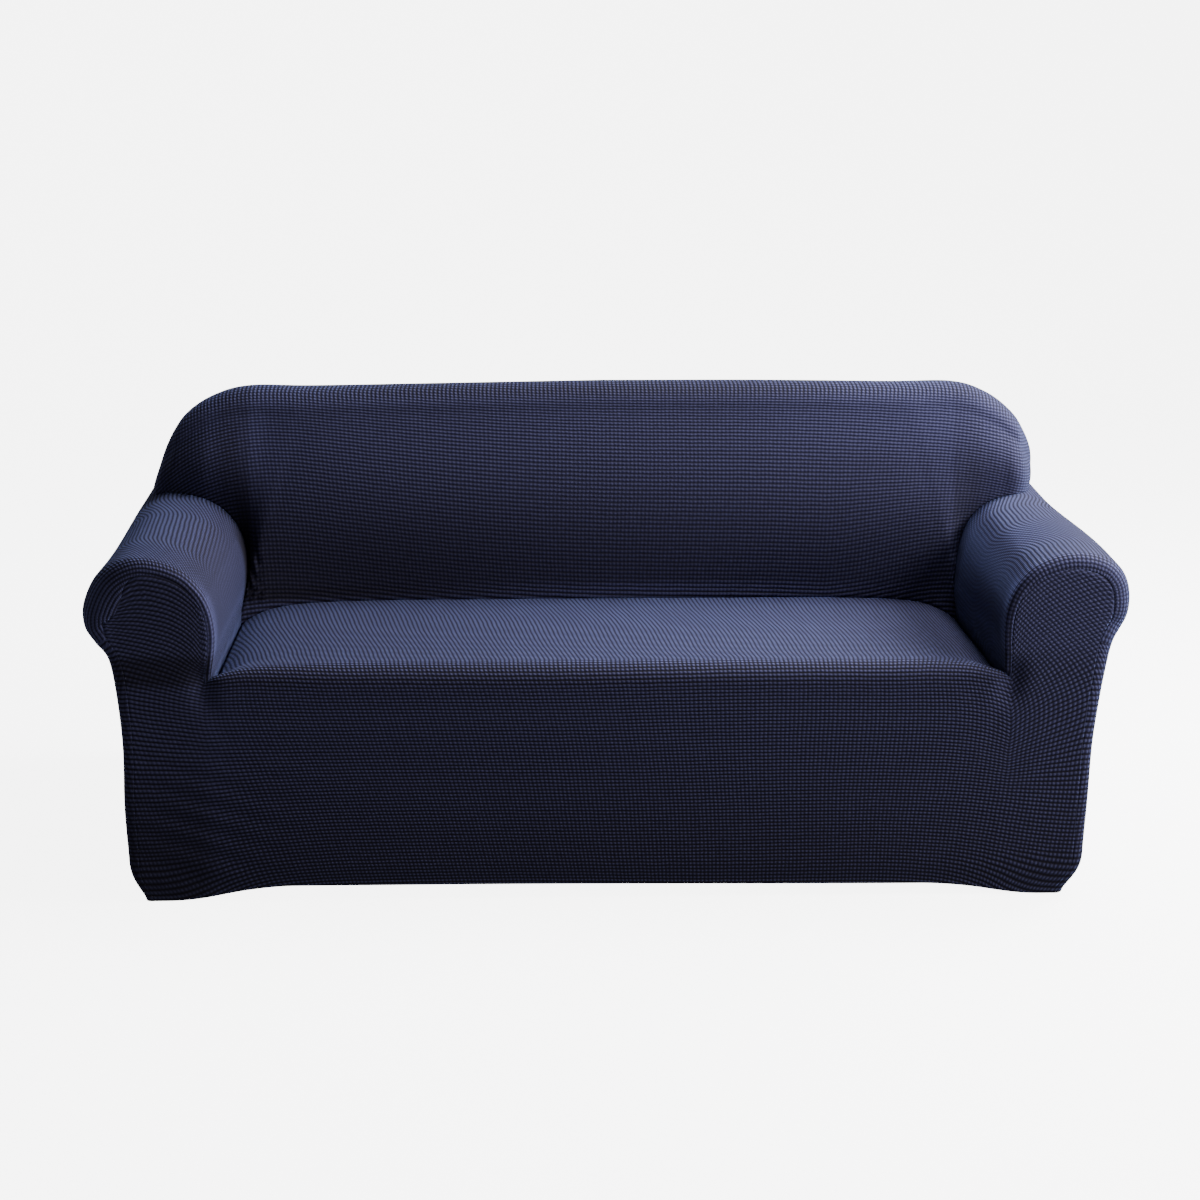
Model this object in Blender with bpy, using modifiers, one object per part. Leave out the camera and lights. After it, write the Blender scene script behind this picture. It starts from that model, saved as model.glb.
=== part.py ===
"""Fitted stretch-knit slipcover for a three-seat sofa with rolled arms.

The cover is a hollow shell of five sewn panels: the seat with the front and both
arm fronts, the inside back with the top, the outside back, and one panel over
each arm. The panels meet at seams that are tucked into the creases or lie just
inside the front and rear edges. Lengths are in metres. X runs along the sofa,
Y from its front to its rear and Z up. Tables and sizes count from the floor and
from the front face; every point is then moved so that the origin is on the
underside of the cloth at the top.
"""
import math

import bmesh
import bpy
from mathutils import Vector
from mathutils.geometry import interpolate_bezier

# The cloth and its seams
CLOTH_THICKNESS = 0.002
SEAM_GAP = 0.0008
MITRE_LIMIT = 0.5
SEAM_STRIP = 0.003
MERGE = 0.00001
CLOTH_COLOUR = (0.061, 0.068, 0.138, 1.0)
CLOTH_ROUGHNESS = 0.9

# Grid steps along each stretch of the panels
WALL_STEPS = 5
ARCH_STEPS = 10
SKIRT_STEPS = 5
HEM_STEPS = 3
SEAT_COLUMNS = 14
EDGE_STEPS = 4
ARM_STEPS = 8
FACE_STEPS = 7
TOP_STEPS = 3

# Seat, front and rear
SEAT_EDGE_HEIGHT = 0.486
SEAT_EDGE_RADIUS = 0.040
SEAT_CREASE_HEIGHT = 0.477
SEAT_CREASE_DEPTH = 0.495
SEAT_CROWN = 0.004
SIDE_POWER = 8
CREASE_POWER = 5
REAR_DEPTH = 0.880
REAR_RADIUS = 0.023
REAR_START = REAR_DEPTH - REAR_RADIUS

# The groove that runs down the skirt from the front end of each seat and arm crease
GROOVE_OUT = 0.782
GROOVE_TOP = 0.462
GROOVE_DEPTH = 0.012
GROOVE_WIDTH = 0.022
GROOVE_RISE = 0.045
GROOVE_FALL = 0.090
GROOVE_BACK = 0.060

# How far the rear corner of the seat stands in from the right arm
CORNER_PULL = 0.018
CORNER_OUT = 0.765
CORNER_DEPTH = 0.470
CORNER_HEIGHT = 0.470
CORNER_REACH = (0.09, 0.24, 0.09)

# Hem: its height along the middle, how far from the ends it is lowered to the
# floor, how much it also falls towards +X, and how far its edge is drawn in
HEM_HEIGHT = 0.030
HEM_CORNER = 0.28
HEM_OUT = 0.90
HEM_FALL = 0.006
HEM_FALL_START = -0.30
HEM_DRAW = 0.005
HEM_DRAW_LEFT = 0.027
HEM_DRAW_RIGHT = 0.037
HEM_DRAW_HEIGHT = 0.066
HEM_DRAW_START = 0.70
HEM_CURL = 2.2

# Inside back and top
BACK_LEAN = math.radians(9.0)
BACK_CROWN = 0.030
CROWN_POWER = 4
CORNER_POWER = 4
TOP_ROUND = 0.062
TOP_ROUND_SHARE = 0.45
TOP_HEIGHT = 0.927
BEZIER_ARC = 0.552

# Depths between which the arms sink
SINK_START = 0.12
SINK_REACH = 0.50

# Rows of the arm tables where one stretch of the section ends and the next begins
ARCH_START = 4
ARCH_END = 10
SHOULDER = 14
HEM_TOP = 18
# Arch steps between the rear corner and the middle of the top corner of the rear
CORNER_STEPS = 7

# An arm's section just behind its front edge, from the seat crease over the roll
# and down to the hem. out: distance from the middle of the sofa. up: height.
# edge: radius of the front edge there. rear: where the straight part ends, at the
# crease with the back and then at the rear edge. sink: how much further in the
# cloth lies at the rear. sag: how far it hangs in at the middle of the depth.
RIGHT_ARM = (
    (0.770, 0.462, 0.010, 0.452, 0.000, 0.000),
    (0.765, 0.512, 0.010, 0.478, 0.000, 0.000),
    (0.763, 0.560, 0.011, 0.498, 0.000, 0.000),
    (0.768, 0.602, 0.013, 0.510, 0.000, 0.000),
    (0.784, 0.640, 0.016, 0.518, 0.000, 0.000),
    (0.812, 0.672, 0.019, 0.524, 0.002, 0.000),
    (0.850, 0.692, 0.022, 0.530, 0.006, 0.000),
    (0.892, 0.701, 0.024, 0.545, 0.011, 0.000),
    (0.934, 0.698, 0.028, 0.620, 0.016, 0.000),
    (0.972, 0.682, 0.032, 0.780, 0.020, 0.000),
    (0.998, 0.650, 0.034, 0.857, 0.021, 0.000),
    (1.007, 0.608, 0.034, 0.857, 0.018, 0.000),
    (1.001, 0.565, 0.032, 0.857, 0.012, 0.000),
    (0.979, 0.525, 0.028, 0.857, 0.006, 0.000),
    (0.967, 0.468, 0.024, 0.857, 0.000, 0.000),
    (0.957, 0.390, 0.022, 0.857, 0.000, 0.000),
    (0.950, 0.310, 0.020, 0.857, 0.000, 0.000),
    (0.948, 0.200, 0.020, 0.857, 0.000, 0.000),
    (0.945, 0.100, 0.020, 0.857, 0.000, 0.000),
    (0.945, 0.031, 0.018, 0.857, 0.000, 0.000),
)
LEFT_ARM = (
    (0.768, 0.462, 0.010, 0.452, 0.000, 0.000),
    (0.758, 0.512, 0.010, 0.478, 0.000, 0.000),
    (0.754, 0.556, 0.011, 0.498, 0.000, 0.000),
    (0.760, 0.602, 0.013, 0.510, 0.000, 0.000),
    (0.778, 0.642, 0.016, 0.518, 0.000, 0.000),
    (0.808, 0.674, 0.019, 0.524, 0.000, 0.000),
    (0.848, 0.694, 0.022, 0.530, 0.000, 0.000),
    (0.892, 0.702, 0.026, 0.545, 0.000, 0.002),
    (0.932, 0.697, 0.036, 0.565, -0.006, 0.005),
    (0.966, 0.679, 0.044, 0.610, -0.010, 0.007),
    (0.992, 0.649, 0.048, 0.857, -0.011, 0.007),
    (1.010, 0.604, 0.046, 0.857, -0.008, 0.006),
    (1.006, 0.564, 0.034, 0.857, -0.004, 0.003),
    (0.986, 0.535, 0.024, 0.857, 0.000, 0.000),
    (0.962, 0.500, 0.022, 0.857, 0.000, 0.000),
    (0.951, 0.420, 0.021, 0.857, 0.000, 0.000),
    (0.946, 0.320, 0.020, 0.857, 0.000, 0.000),
    (0.950, 0.200, 0.020, 0.857, 0.000, 0.000),
    (0.948, 0.100, 0.020, 0.857, 0.000, 0.000),
    (0.945, 0.031, 0.014, 0.857, 0.000, 0.000),
)

# The back's upper edge, from the middle of the top round the corner and down the
# end. share: how far along the lower crease, from the middle of the seat (0) to
# the rear corner (1), the cloth comes from. out and up: the front edge line before
# it is rounded. rear_out and rear_up: the rear edge line.
RIGHT_BACK = (
    (0.00, 0.000, 0.939, 0.000, 0.877),
    (0.28, 0.330, 0.938, 0.330, 0.876),
    (0.52, 0.610, 0.934, 0.615, 0.873),
    (0.66, 0.750, 0.934, 0.754, 0.872),
    (0.72, 0.823, 0.911, 0.827, 0.853),
    (0.77, 0.876, 0.871, 0.882, 0.818),
    (0.82, 0.916, 0.820, 0.923, 0.770),
    (0.87, 0.946, 0.768, 0.953, 0.722),
    (0.93, 0.958, 0.720, 0.965, 0.684),
    (1.00, 0.980, 0.640, 0.980, 0.640),
)
LEFT_BACK = (
    (0.00, 0.000, 0.939, 0.000, 0.877),
    (0.28, 0.330, 0.934, 0.330, 0.873),
    (0.52, 0.610, 0.930, 0.615, 0.870),
    (0.66, 0.749, 0.931, 0.754, 0.871),
    (0.72, 0.826, 0.911, 0.830, 0.853),
    (0.77, 0.884, 0.873, 0.889, 0.818),
    (0.82, 0.922, 0.820, 0.927, 0.770),
    (0.87, 0.947, 0.768, 0.958, 0.722),
    (0.93, 0.970, 0.714, 0.984, 0.686),
    (1.00, 1.001, 0.654, 1.001, 0.654),
)

# Origin: the underside of the cloth at the top, at mid-width
TOP_MOUNT = Vector((0.0, 0.610, TOP_HEIGHT - CLOTH_THICKNESS))

# A point on the sofa's side of each panel, which the panel faces away from
INSIDE = {
    "seat_and_front": (0.0, 0.40, 0.20),
    "inside_back": (0.0, 0.75, 0.60),
    "outside_back": (0.0, 0.70, 0.45),
    "arm_left": (-0.87, 0.40, 0.40),
    "arm_right": (0.87, 0.40, 0.40),
}

# Samples per grid step when lengths are measured, rounds that even out a flat
# panel's grid, halvings when a place is looked up, and how far on either side of a
# place its direction is taken
SAMPLES = 16
RELAX_ROUNDS = 30
HALVINGS = 40
LOOK = 0.05


def mix(a, b, share):
    return a + (b - a) * share


def ease(value):
    """0 below 0, 1 above 1 and smooth between them."""
    value = min(max(value, 0.0), 1.0)
    return value * value * (3.0 - 2.0 * value)


def through(rows, place):
    """A smooth curve through a table's rows; place counts rows from 0."""
    last = len(rows) - 1
    i = min(max(int(place), 0), last - 1)
    t = place - i
    point = []
    for a, b, c, d in zip(rows[max(i - 1, 0)], rows[i], rows[i + 1], rows[min(i + 2, last)]):
        bend = 2 * a - 5 * b + 4 * c - d
        twist = 3 * b - a - 3 * c + d
        point.append(b + 0.5 * t * (c - a + t * (bend + t * twist)))
    return point


def place_of(rows, column, value):
    """The place at which one column of a table, which only rises, has a value."""
    low = 0.0
    high = len(rows) - 1.0
    for _ in range(HALVINGS):
        middle = (low + high) / 2
        if through(rows, middle)[column] < value:
            low = middle
        else:
            high = middle
    return low


def steps_between(rows, start, end, count):
    """Places from one row to another in steps of equal length, the first left out."""
    walk = [mix(start, end, k / (SAMPLES * count)) for k in range(SAMPLES * count + 1)]
    run = [0.0]
    for a, b in zip(walk, walk[1:]):
        run.append(run[-1] + math.dist(through(rows, a)[:2], through(rows, b)[:2]))
    places = []
    k = 0
    for step in range(1, count + 1):
        goal = run[-1] * step / count
        while k < len(run) - 2 and run[k + 1] < goal:
            k += 1
        places.append(mix(walk[k], walk[k + 1], (goal - run[k]) / (run[k + 1] - run[k])))
    return places


def quarter_turns():
    return [math.pi / 2 * k / EDGE_STEPS for k in range(EDGE_STEPS + 1)]


class Arm:
    """The panel over one arm, as lines that run from its front seam to its rear."""

    def __init__(self, side, rows, back_rows):
        self.side = side
        self.rows = rows
        self.back_rows = back_rows
        places = [0.0]
        places += steps_between(rows, 0, ARCH_START, WALL_STEPS)
        places += steps_between(rows, ARCH_START, ARCH_END, ARCH_STEPS)
        places += steps_between(rows, ARCH_END, SHOULDER, WALL_STEPS)
        places += steps_between(rows, SHOULDER, HEM_TOP, SKIRT_STEPS)
        places += steps_between(rows, HEM_TOP, len(rows) - 1, HEM_STEPS)
        corner = WALL_STEPS + ARCH_STEPS
        self.lines = [self.line(place) for place in places]
        self.rear_lines = [self.rear_line(place) for place in places[corner:]]
        self.front_seam = [line[0] for line in self.lines]
        self.seat_crease = self.lines[0]
        self.back_crease = [line[-1] for line in self.lines[:corner + 1]]
        self.rear_seam = [line[-1] for line in self.rear_lines]

    def laid(self, place, spots):
        """Points on the section at a place, from pairs of inset and depth."""
        out, up, _, _, sink, sag = through(self.rows, place)
        ahead = through(self.rows, min(place + LOOK, len(self.rows) - 1))
        behind = through(self.rows, max(place - LOOK, 0))
        along = Vector((ahead[0] - behind[0], ahead[1] - behind[1])).normalized()
        points = []
        for inset, y in spots:
            move = inset + sink * ease((y - SINK_START) / SINK_REACH)
            move += sag * math.sin(math.pi * y / REAR_DEPTH)
            x = out + along.y * move
            z = up - along.x * move
            if place == 0:
                z -= inset
            points.append(Vector((self.side * x, y, z)))
        return points

    def line(self, place):
        """From the front seam over the front edge and back to the crease or rear.
        The line in the seat crease also dips at the front edge."""
        edge, rear = through(self.rows, place)[2:4]
        rear = min(rear, REAR_START)
        spots = [(edge + SEAM_STRIP, 0.0)]
        for turn in quarter_turns():
            spots.append((edge * (1 - math.sin(turn)), edge * (1 - math.cos(turn))))
        for k in range(1, ARM_STEPS + 1):
            spots.append((0.0, mix(edge, rear, k / ARM_STEPS)))
        return self.laid(place, spots)

    def rear_line(self, place):
        """Round the rear edge and on to the seam on the rear face."""
        spots = []
        for turn in quarter_turns():
            inset = REAR_RADIUS * (1 - math.cos(turn))
            spots.append((inset, REAR_START + REAR_RADIUS * math.sin(turn)))
        spots.append((REAR_RADIUS + SEAM_STRIP, REAR_DEPTH))
        return self.laid(place, spots)


def blend_patch(bottom, top, left, right):
    """Rows of points that fill the space inside four boundary lines. bottom and top
    run from left to right, left and right from bottom to top."""
    columns = len(bottom) - 1
    rows = len(left) - 1
    patch = []
    for j in range(rows + 1):
        v = j / rows
        row = []
        for i in range(columns + 1):
            u = i / columns
            across = left[j].lerp(right[j], u)
            upward = bottom[i].lerp(top[i], v)
            corners = bottom[0].lerp(bottom[-1], u).lerp(top[0].lerp(top[-1], u), v)
            row.append(across + upward - corners)
        patch.append(row)
    return patch


def relaxed(patch):
    """The same patch with its inner points evened out between its borders."""
    for _ in range(RELAX_ROUNDS):
        for j in range(1, len(patch) - 1):
            for i in range(1, len(patch[0]) - 1):
                around = patch[j - 1][i] + patch[j + 1][i] + patch[j][i - 1] + patch[j][i + 1]
                patch[j][i] = around / 4
    return patch


def seat_patch(left, right):
    """From the front shoulder over the seat's edge to the crease with the back."""
    edge_rows = EDGE_STEPS + 1
    patch = []
    for j in range(len(left.seat_crease)):
        if j <= edge_rows:
            turn = math.pi / 2 * j / edge_rows
            y = SEAT_EDGE_RADIUS * (1 - math.cos(turn))
            z = SEAT_EDGE_HEIGHT - SEAT_EDGE_RADIUS * (1 - math.sin(turn))
        else:
            share = (j - edge_rows) / ARM_STEPS
            y = mix(SEAT_EDGE_RADIUS, SEAT_CREASE_DEPTH, share)
            z = mix(SEAT_EDGE_HEIGHT, SEAT_CREASE_HEIGHT, share)
            z += SEAT_CROWN * math.sin(math.pi * share)
        row = []
        for i in range(SEAT_COLUMNS + 1):
            u = i / SEAT_COLUMNS
            aside = left.seat_crease[j].lerp(right.seat_crease[j], u)
            off = abs(2 * u - 1)
            depth = mix(y, aside.y, off ** CREASE_POWER)
            height = mix(z, aside.z, off ** SIDE_POWER)
            row.append(Vector((aside.x, depth, height)))
        patch.append(row)
    return patch


def arm_front(arm):
    """The level line at the foot of an arm's front, and the patch above it."""
    wall = WALL_STEPS
    arch = wall + ARCH_STEPS
    shoulder = arch + WALL_STEPS
    seam = arm.front_seam
    ledge = [seam[0].lerp(seam[shoulder], k / ARCH_STEPS) for k in range(ARCH_STEPS + 1)]
    outside = seam[arch:shoulder + 1][::-1]
    return ledge, relaxed(blend_patch(ledge, seam[wall:arch + 1], seam[:wall + 1], outside))


def seat_and_front(left, right):
    """The seat, both arm fronts and the skirt down to the hem."""
    seat = seat_patch(left, right)
    left_ledge, left_front = arm_front(left)
    right_ledge, right_front = arm_front(right)
    shoulder = left_ledge[::-1] + seat[0][1:] + right_ledge[1:]
    foot = 2 * WALL_STEPS + ARCH_STEPS
    left_edge = left.front_seam[foot:][::-1]
    right_edge = right.front_seam[foot:][::-1]
    hem = []
    for point in shoulder:
        share = (point.x - shoulder[0].x) / (shoulder[-1].x - shoulder[0].x)
        hem.append(left_edge[0].lerp(right_edge[0], share))
    return [seat, left_front, right_front, blend_patch(hem, shoulder, left_edge, right_edge)]


def rounded_corner(a, corner, b):
    """Points from a towards b that round the corner between them."""
    before = a - corner
    after = b - corner
    start = corner + before.normalized() * min(TOP_ROUND, TOP_ROUND_SHARE * before.length)
    end = corner + after.normalized() * min(TOP_ROUND, TOP_ROUND_SHARE * after.length)
    pull_a = start.lerp(corner, BEZIER_ARC)
    pull_b = end.lerp(corner, BEZIER_ARC)
    return interpolate_bezier(start, pull_a, pull_b, end, EDGE_STEPS + 2)


def face_depth(height):
    """How far back the leaning face lies at a height."""
    return SEAT_CREASE_DEPTH + (height - SEAT_CREASE_HEIGHT) * math.tan(BACK_LEAN)


def back_line(arm, share, foot):
    """One line of the inside back, from its foot in the crease over the top to the
    seam on the rear face."""
    rows = arm.back_rows
    place = place_of(rows, 0, share)
    out, up, rear_out, rear_up = through(rows, place)[1:]
    brow = Vector((arm.side * out, max(face_depth(up), foot.y), up))
    rear = Vector((arm.side * rear_out, REAR_START, rear_up))
    bend = rounded_corner(foot, brow, rear)
    forward = min(foot.y - face_depth(foot.z), 0.0)
    line = []
    for k in range(FACE_STEPS):
        t = k / FACE_STEPS
        point = foot.lerp(bend[0], t)
        point.y -= BACK_CROWN * (1 - share ** CROWN_POWER) * math.sin(math.pi * t)
        point.y += forward * ((1 - t) ** CORNER_POWER - (1 - t))
        line.append(point)
    line += bend
    line += [bend[-1].lerp(rear, k / TOP_STEPS) for k in range(1, TOP_STEPS + 1)]
    ahead = through(rows, min(place + LOOK, len(rows) - 1))
    behind = through(rows, max(place - LOOK, 0))
    along = Vector((ahead[3] - behind[3], ahead[4] - behind[4])).normalized()
    spots = []
    for turn in quarter_turns()[1:]:
        inset = REAR_RADIUS * (1 - math.cos(turn))
        spots.append((inset, REAR_START + REAR_RADIUS * math.sin(turn)))
    spots.append((REAR_RADIUS + SEAM_STRIP, REAR_DEPTH))
    for inset, y in spots:
        x = rear_out + along.y * inset
        z = rear_up - along.x * inset
        line.append(Vector((arm.side * x, y, z)))
    return line


def half_back(arm, seat_feet):
    """The lines of the inside back from the middle of the seat to one rear corner."""
    feet = seat_feet + arm.back_crease[1:]
    run = [0.0]
    for a, b in zip(feet, feet[1:]):
        run.append(run[-1] + (b - a).length)
    lines = []
    for foot, distance in zip(feet[:-1], run):
        lines.append(back_line(arm, distance / run[-1], foot))
    rise = FACE_STEPS + EDGE_STEPS + 2 + TOP_STEPS
    lines.append([feet[-1]] * rise + arm.rear_lines[0][1:])
    return lines


def inside_back(left, right):
    """Lines across the whole inside back, from the left rear corner to the right."""
    crease = seat_patch(left, right)[-1]
    middle = SEAT_COLUMNS // 2
    lines = half_back(left, crease[middle::-1])[::-1]
    return lines + half_back(right, crease[middle:])[1:]


def outside_back(left, right, lines):
    """The rear face, inside the seams with both arms and the inside back."""
    seam = [line[-1] for line in lines]
    left_edge = left.rear_seam[::-1] + seam[1:CORNER_STEPS + 1]
    right_edge = right.rear_seam[::-1] + seam[-CORNER_STEPS - 1:-1][::-1]
    top = seam[CORNER_STEPS:-CORNER_STEPS]
    count = len(top) - 1
    hem = [left_edge[0].lerp(right_edge[0], k / count) for k in range(count + 1)]
    return relaxed(blend_patch(hem, top, left_edge, right_edge))


def settle(point):
    """Lower the hem to the floor at the corners, draw its edge inward, sink the
    grooves in the skirt and pull in the rear corner of the seat."""
    x, y, z = point
    at_front = ease(1.0 - y / HEM_CORNER)
    at_rear = ease(1.0 - (REAR_DEPTH - y) / HEM_CORNER)
    at_end = max(at_front, at_rear)
    corner = at_end * ease(1.0 - (HEM_OUT - abs(x)) / HEM_CORNER)
    low = 1.0 - ease((z - HEM_HEIGHT) / HEM_DRAW_HEIGHT)
    outer = ease((abs(x) - HEM_DRAW_START) / (HEM_OUT - HEM_DRAW_START))
    corner_draw = HEM_DRAW_LEFT if x < 0 else HEM_DRAW_RIGHT
    draw = mix(HEM_DRAW, corner_draw, at_end ** 2) * outer * low ** HEM_CURL
    tuck = HEM_DRAW * (at_front - at_rear) * low ** 2
    across = math.exp(-(((abs(x) - GROOVE_OUT) / GROOVE_WIDTH) ** 2))
    reach = GROOVE_FALL if z < GROOVE_TOP else GROOVE_RISE
    along = 1.0 - ease(abs(z - GROOVE_TOP) / reach)
    sink = GROOVE_DEPTH * across * along * (1.0 - ease(y / GROOVE_BACK))
    away = 0.0
    for value, middle, size in zip(point, (CORNER_OUT, CORNER_DEPTH, CORNER_HEIGHT), CORNER_REACH):
        away += ((value - middle) / size) ** 2
    pull = CORNER_PULL * math.exp(-away)
    drop = HEM_HEIGHT * corner + HEM_FALL * ease(x - HEM_FALL_START) * (1.0 - corner)
    return Vector((x - pull - math.copysign(draw, x), y + sink + tuck, z - drop * low))


def part_seams(mesh):
    """Draw the sheet's border in by half a seam gap, square to its edges."""
    sides = {}
    for edge in mesh.edges:
        if not edge.is_boundary:
            continue
        face = edge.link_faces[0]
        start, end = edge.verts
        inward = face.normal.cross(end.co - start.co).normalized()
        if inward.dot(face.calc_center_median() - start.co) < 0:
            inward.negate()
        for vertex in (start, end):
            sides.setdefault(vertex, []).append(inward)
    for vertex, (first, second) in sides.items():
        inward = (first + second).normalized()
        vertex.co += inward * SEAM_GAP / 2 / max(inward.dot(first), MITRE_LIMIT)


def add_patch(mesh, patch):
    """Add a grid whose points are the patch's rows of points."""
    rows = len(patch) - 1
    columns = len(patch[0]) - 1
    grid = bmesh.ops.create_grid(mesh, x_segments=columns, y_segments=rows, size=1.0)
    for vertex in grid["verts"]:
        i = round((vertex.co.x + 1) / 2 * columns)
        j = round((vertex.co.y + 1) / 2 * rows)
        vertex.co = settle(patch[j][i]) - TOP_MOUNT


def add_panel(name, patches, collection):
    """One panel of cloth: its patches joined, facing away from the sofa."""
    mesh = bmesh.new()
    for patch in patches:
        add_patch(mesh, patch)
    bmesh.ops.remove_doubles(mesh, verts=mesh.verts[:], dist=MERGE)
    bmesh.ops.recalc_face_normals(mesh, faces=mesh.faces[:])
    outward = 0.0
    for face in mesh.faces:
        away = face.calc_center_median() + TOP_MOUNT - Vector(INSIDE[name])
        outward += away.dot(face.normal) * face.calc_area()
    if outward < 0:
        bmesh.ops.reverse_faces(mesh, faces=mesh.faces[:])
    part_seams(mesh)
    data = bpy.data.meshes.new(name)
    mesh.to_mesh(data)
    mesh.free()
    data.shade_smooth()
    data.materials.append(cloth_material(name))
    panel = bpy.data.objects.new(name, data)
    collection.objects.link(panel)
    shell = panel.modifiers.new("cloth", "SOLIDIFY")
    shell.thickness = CLOTH_THICKNESS
    shell.offset = -1.0
    return panel


def cloth_material(name):
    material = bpy.data.materials.new(name)
    material.use_nodes = True
    surface = material.node_tree.nodes["Principled BSDF"]
    surface.inputs["Base Color"].default_value = CLOTH_COLOUR
    surface.inputs["Roughness"].default_value = CLOTH_ROUGHNESS
    surface.inputs["Metallic"].default_value = 0.0
    return material


for old in list(bpy.data.objects):
    bpy.data.objects.remove(old)
cover = bpy.data.collections.new("sofa_slipcover")
bpy.context.scene.collection.children.link(cover)

arm_left = Arm(-1.0, LEFT_ARM, LEFT_BACK)
arm_right = Arm(1.0, RIGHT_ARM, RIGHT_BACK)
back_lines = inside_back(arm_left, arm_right)

add_panel("seat_and_front", seat_and_front(arm_left, arm_right), cover)
add_panel("arm_left", [arm_left.lines, arm_left.rear_lines], cover)
add_panel("arm_right", [arm_right.lines, arm_right.rear_lines], cover)
add_panel("inside_back", [back_lines], cover)
add_panel("outside_back", [outside_back(arm_left, arm_right, back_lines)], cover)
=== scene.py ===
"""Visual model of a fitted stretch-knit slipcover for a three-seat sofa.

Five sewn panels of one cloth, shaped by the sofa that is left out. Lengths are in
metres; tables and sizes count from the floor and from the front face, X runs along
the sofa, Y to its rear and Z up. Each panel carries a map called "knit", which says
where a point lies on the flat cloth, along its rows and across them. A band is a pair
of lengths: where a change starts, and how far on it is whole.
"""
import math

import bmesh
import bpy
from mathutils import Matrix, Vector
from mathutils.geometry import interpolate_bezier


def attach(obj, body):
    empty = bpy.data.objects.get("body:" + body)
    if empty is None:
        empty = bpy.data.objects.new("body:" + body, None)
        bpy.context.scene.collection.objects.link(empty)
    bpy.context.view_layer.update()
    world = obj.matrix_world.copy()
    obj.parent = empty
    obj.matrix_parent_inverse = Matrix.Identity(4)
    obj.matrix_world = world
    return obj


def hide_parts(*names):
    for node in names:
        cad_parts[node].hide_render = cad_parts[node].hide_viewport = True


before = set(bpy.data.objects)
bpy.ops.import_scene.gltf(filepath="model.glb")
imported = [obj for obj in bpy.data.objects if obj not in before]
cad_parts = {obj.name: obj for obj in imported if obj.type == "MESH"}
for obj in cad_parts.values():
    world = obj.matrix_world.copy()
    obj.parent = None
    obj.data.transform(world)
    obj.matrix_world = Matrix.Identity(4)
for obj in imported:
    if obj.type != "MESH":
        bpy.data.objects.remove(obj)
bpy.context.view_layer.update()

# ---------------------------------------------------------------------------
# Arm panel at +X
# The cloth over the arm at a viewer's right: up its inner wall, over the roll and
# down to the hem, turned round the front and rear edges. Two-tone polyester knit
# with a little elastane, overlocked to the neighbouring panels.

CLOTH_THICKNESS = 0.002
TOP_HEIGHT = 0.927
TOP_MOUNT = Vector((0.0, 0.610, TOP_HEIGHT - CLOTH_THICKNESS))

# Steps between the points of a panel's grid, and lines at which an arm's parts end
WALL_STEPS = 26
ARCH_STEPS = 50
SKIRT_STEPS = 40
HEM_STEPS = 14
EDGE_STEPS = 6
ARM_STEPS = 62
EDGE_END = EDGE_STEPS + 2
CORNER_LINE = WALL_STEPS + ARCH_STEPS
SHOULDER_LINE = CORNER_LINE + WALL_STEPS

# Rows of the arm tables at which an arm's parts start
ARCH_START = 4
ARCH_END = 10
NECK = 13.0
SHOULDER = 14
HEM_TOP = 18

REAR_DEPTH = 0.880
REAR_RADIUS = 0.023
REAR_START = REAR_DEPTH - REAR_RADIUS
SINK_BAND = (0.12, 0.50)
CREASE_SINK = 0.026
CREASE_SINK_BAND = (0.01, 0.06)

# The front seam runs this far in from the edge, further on the outer side of the roll
# at -X; on both rolls' outer sides it also dips
SEAM_STRIP = 0.003
OUTER_STRIP = {-1.0: 0.018, 1.0: 0.0}
SEAM_DIP = {-1.0: 0.0001, 1.0: 0.0006}
OUTER_ROWS = ((7.0, 2.5), (11.5, 2.0))

# How finely the tables are walked
SAMPLES = 6
HALVINGS = 30
LOOK = 0.05

# An arm's section just behind its front edge, from the seat crease over the roll
# and down to the hem. out: distance from the middle of the sofa. up: height.
# edge: radius of the front edge there. rear: where the straight part ends, at the
# crease with the back and then at the rear edge. sink: how much further in the
# cloth lies at the rear. sag: how far it hangs in at the middle of the depth.
RIGHT_ARM = (
    (0.770, 0.462, 0.010, 0.452, 0.000, 0.000),
    (0.765, 0.512, 0.010, 0.478, 0.000, 0.000),
    (0.763, 0.560, 0.011, 0.498, 0.000, 0.000),
    (0.768, 0.602, 0.013, 0.510, 0.000, 0.000),
    (0.784, 0.640, 0.016, 0.518, 0.000, 0.000),
    (0.812, 0.672, 0.019, 0.524, 0.002, 0.000),
    (0.850, 0.692, 0.022, 0.530, 0.006, 0.000),
    (0.892, 0.701, 0.024, 0.545, 0.011, 0.000),
    (0.934, 0.698, 0.028, 0.620, 0.016, 0.000),
    (0.972, 0.682, 0.032, 0.780, 0.020, 0.000),
    (0.998, 0.650, 0.034, 0.857, 0.021, 0.000),
    (1.007, 0.608, 0.034, 0.857, 0.018, 0.000),
    (1.001, 0.565, 0.032, 0.857, 0.012, 0.000),
    (0.979, 0.525, 0.028, 0.857, 0.006, 0.000),
    (0.967, 0.468, 0.024, 0.857, 0.000, 0.000),
    (0.957, 0.390, 0.022, 0.857, 0.000, 0.000),
    (0.950, 0.310, 0.020, 0.857, 0.000, 0.000),
    (0.948, 0.200, 0.020, 0.857, 0.000, 0.000),
    (0.945, 0.100, 0.020, 0.857, 0.000, 0.000),
    (0.945, 0.031, 0.018, 0.857, 0.000, 0.000),
)

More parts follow.
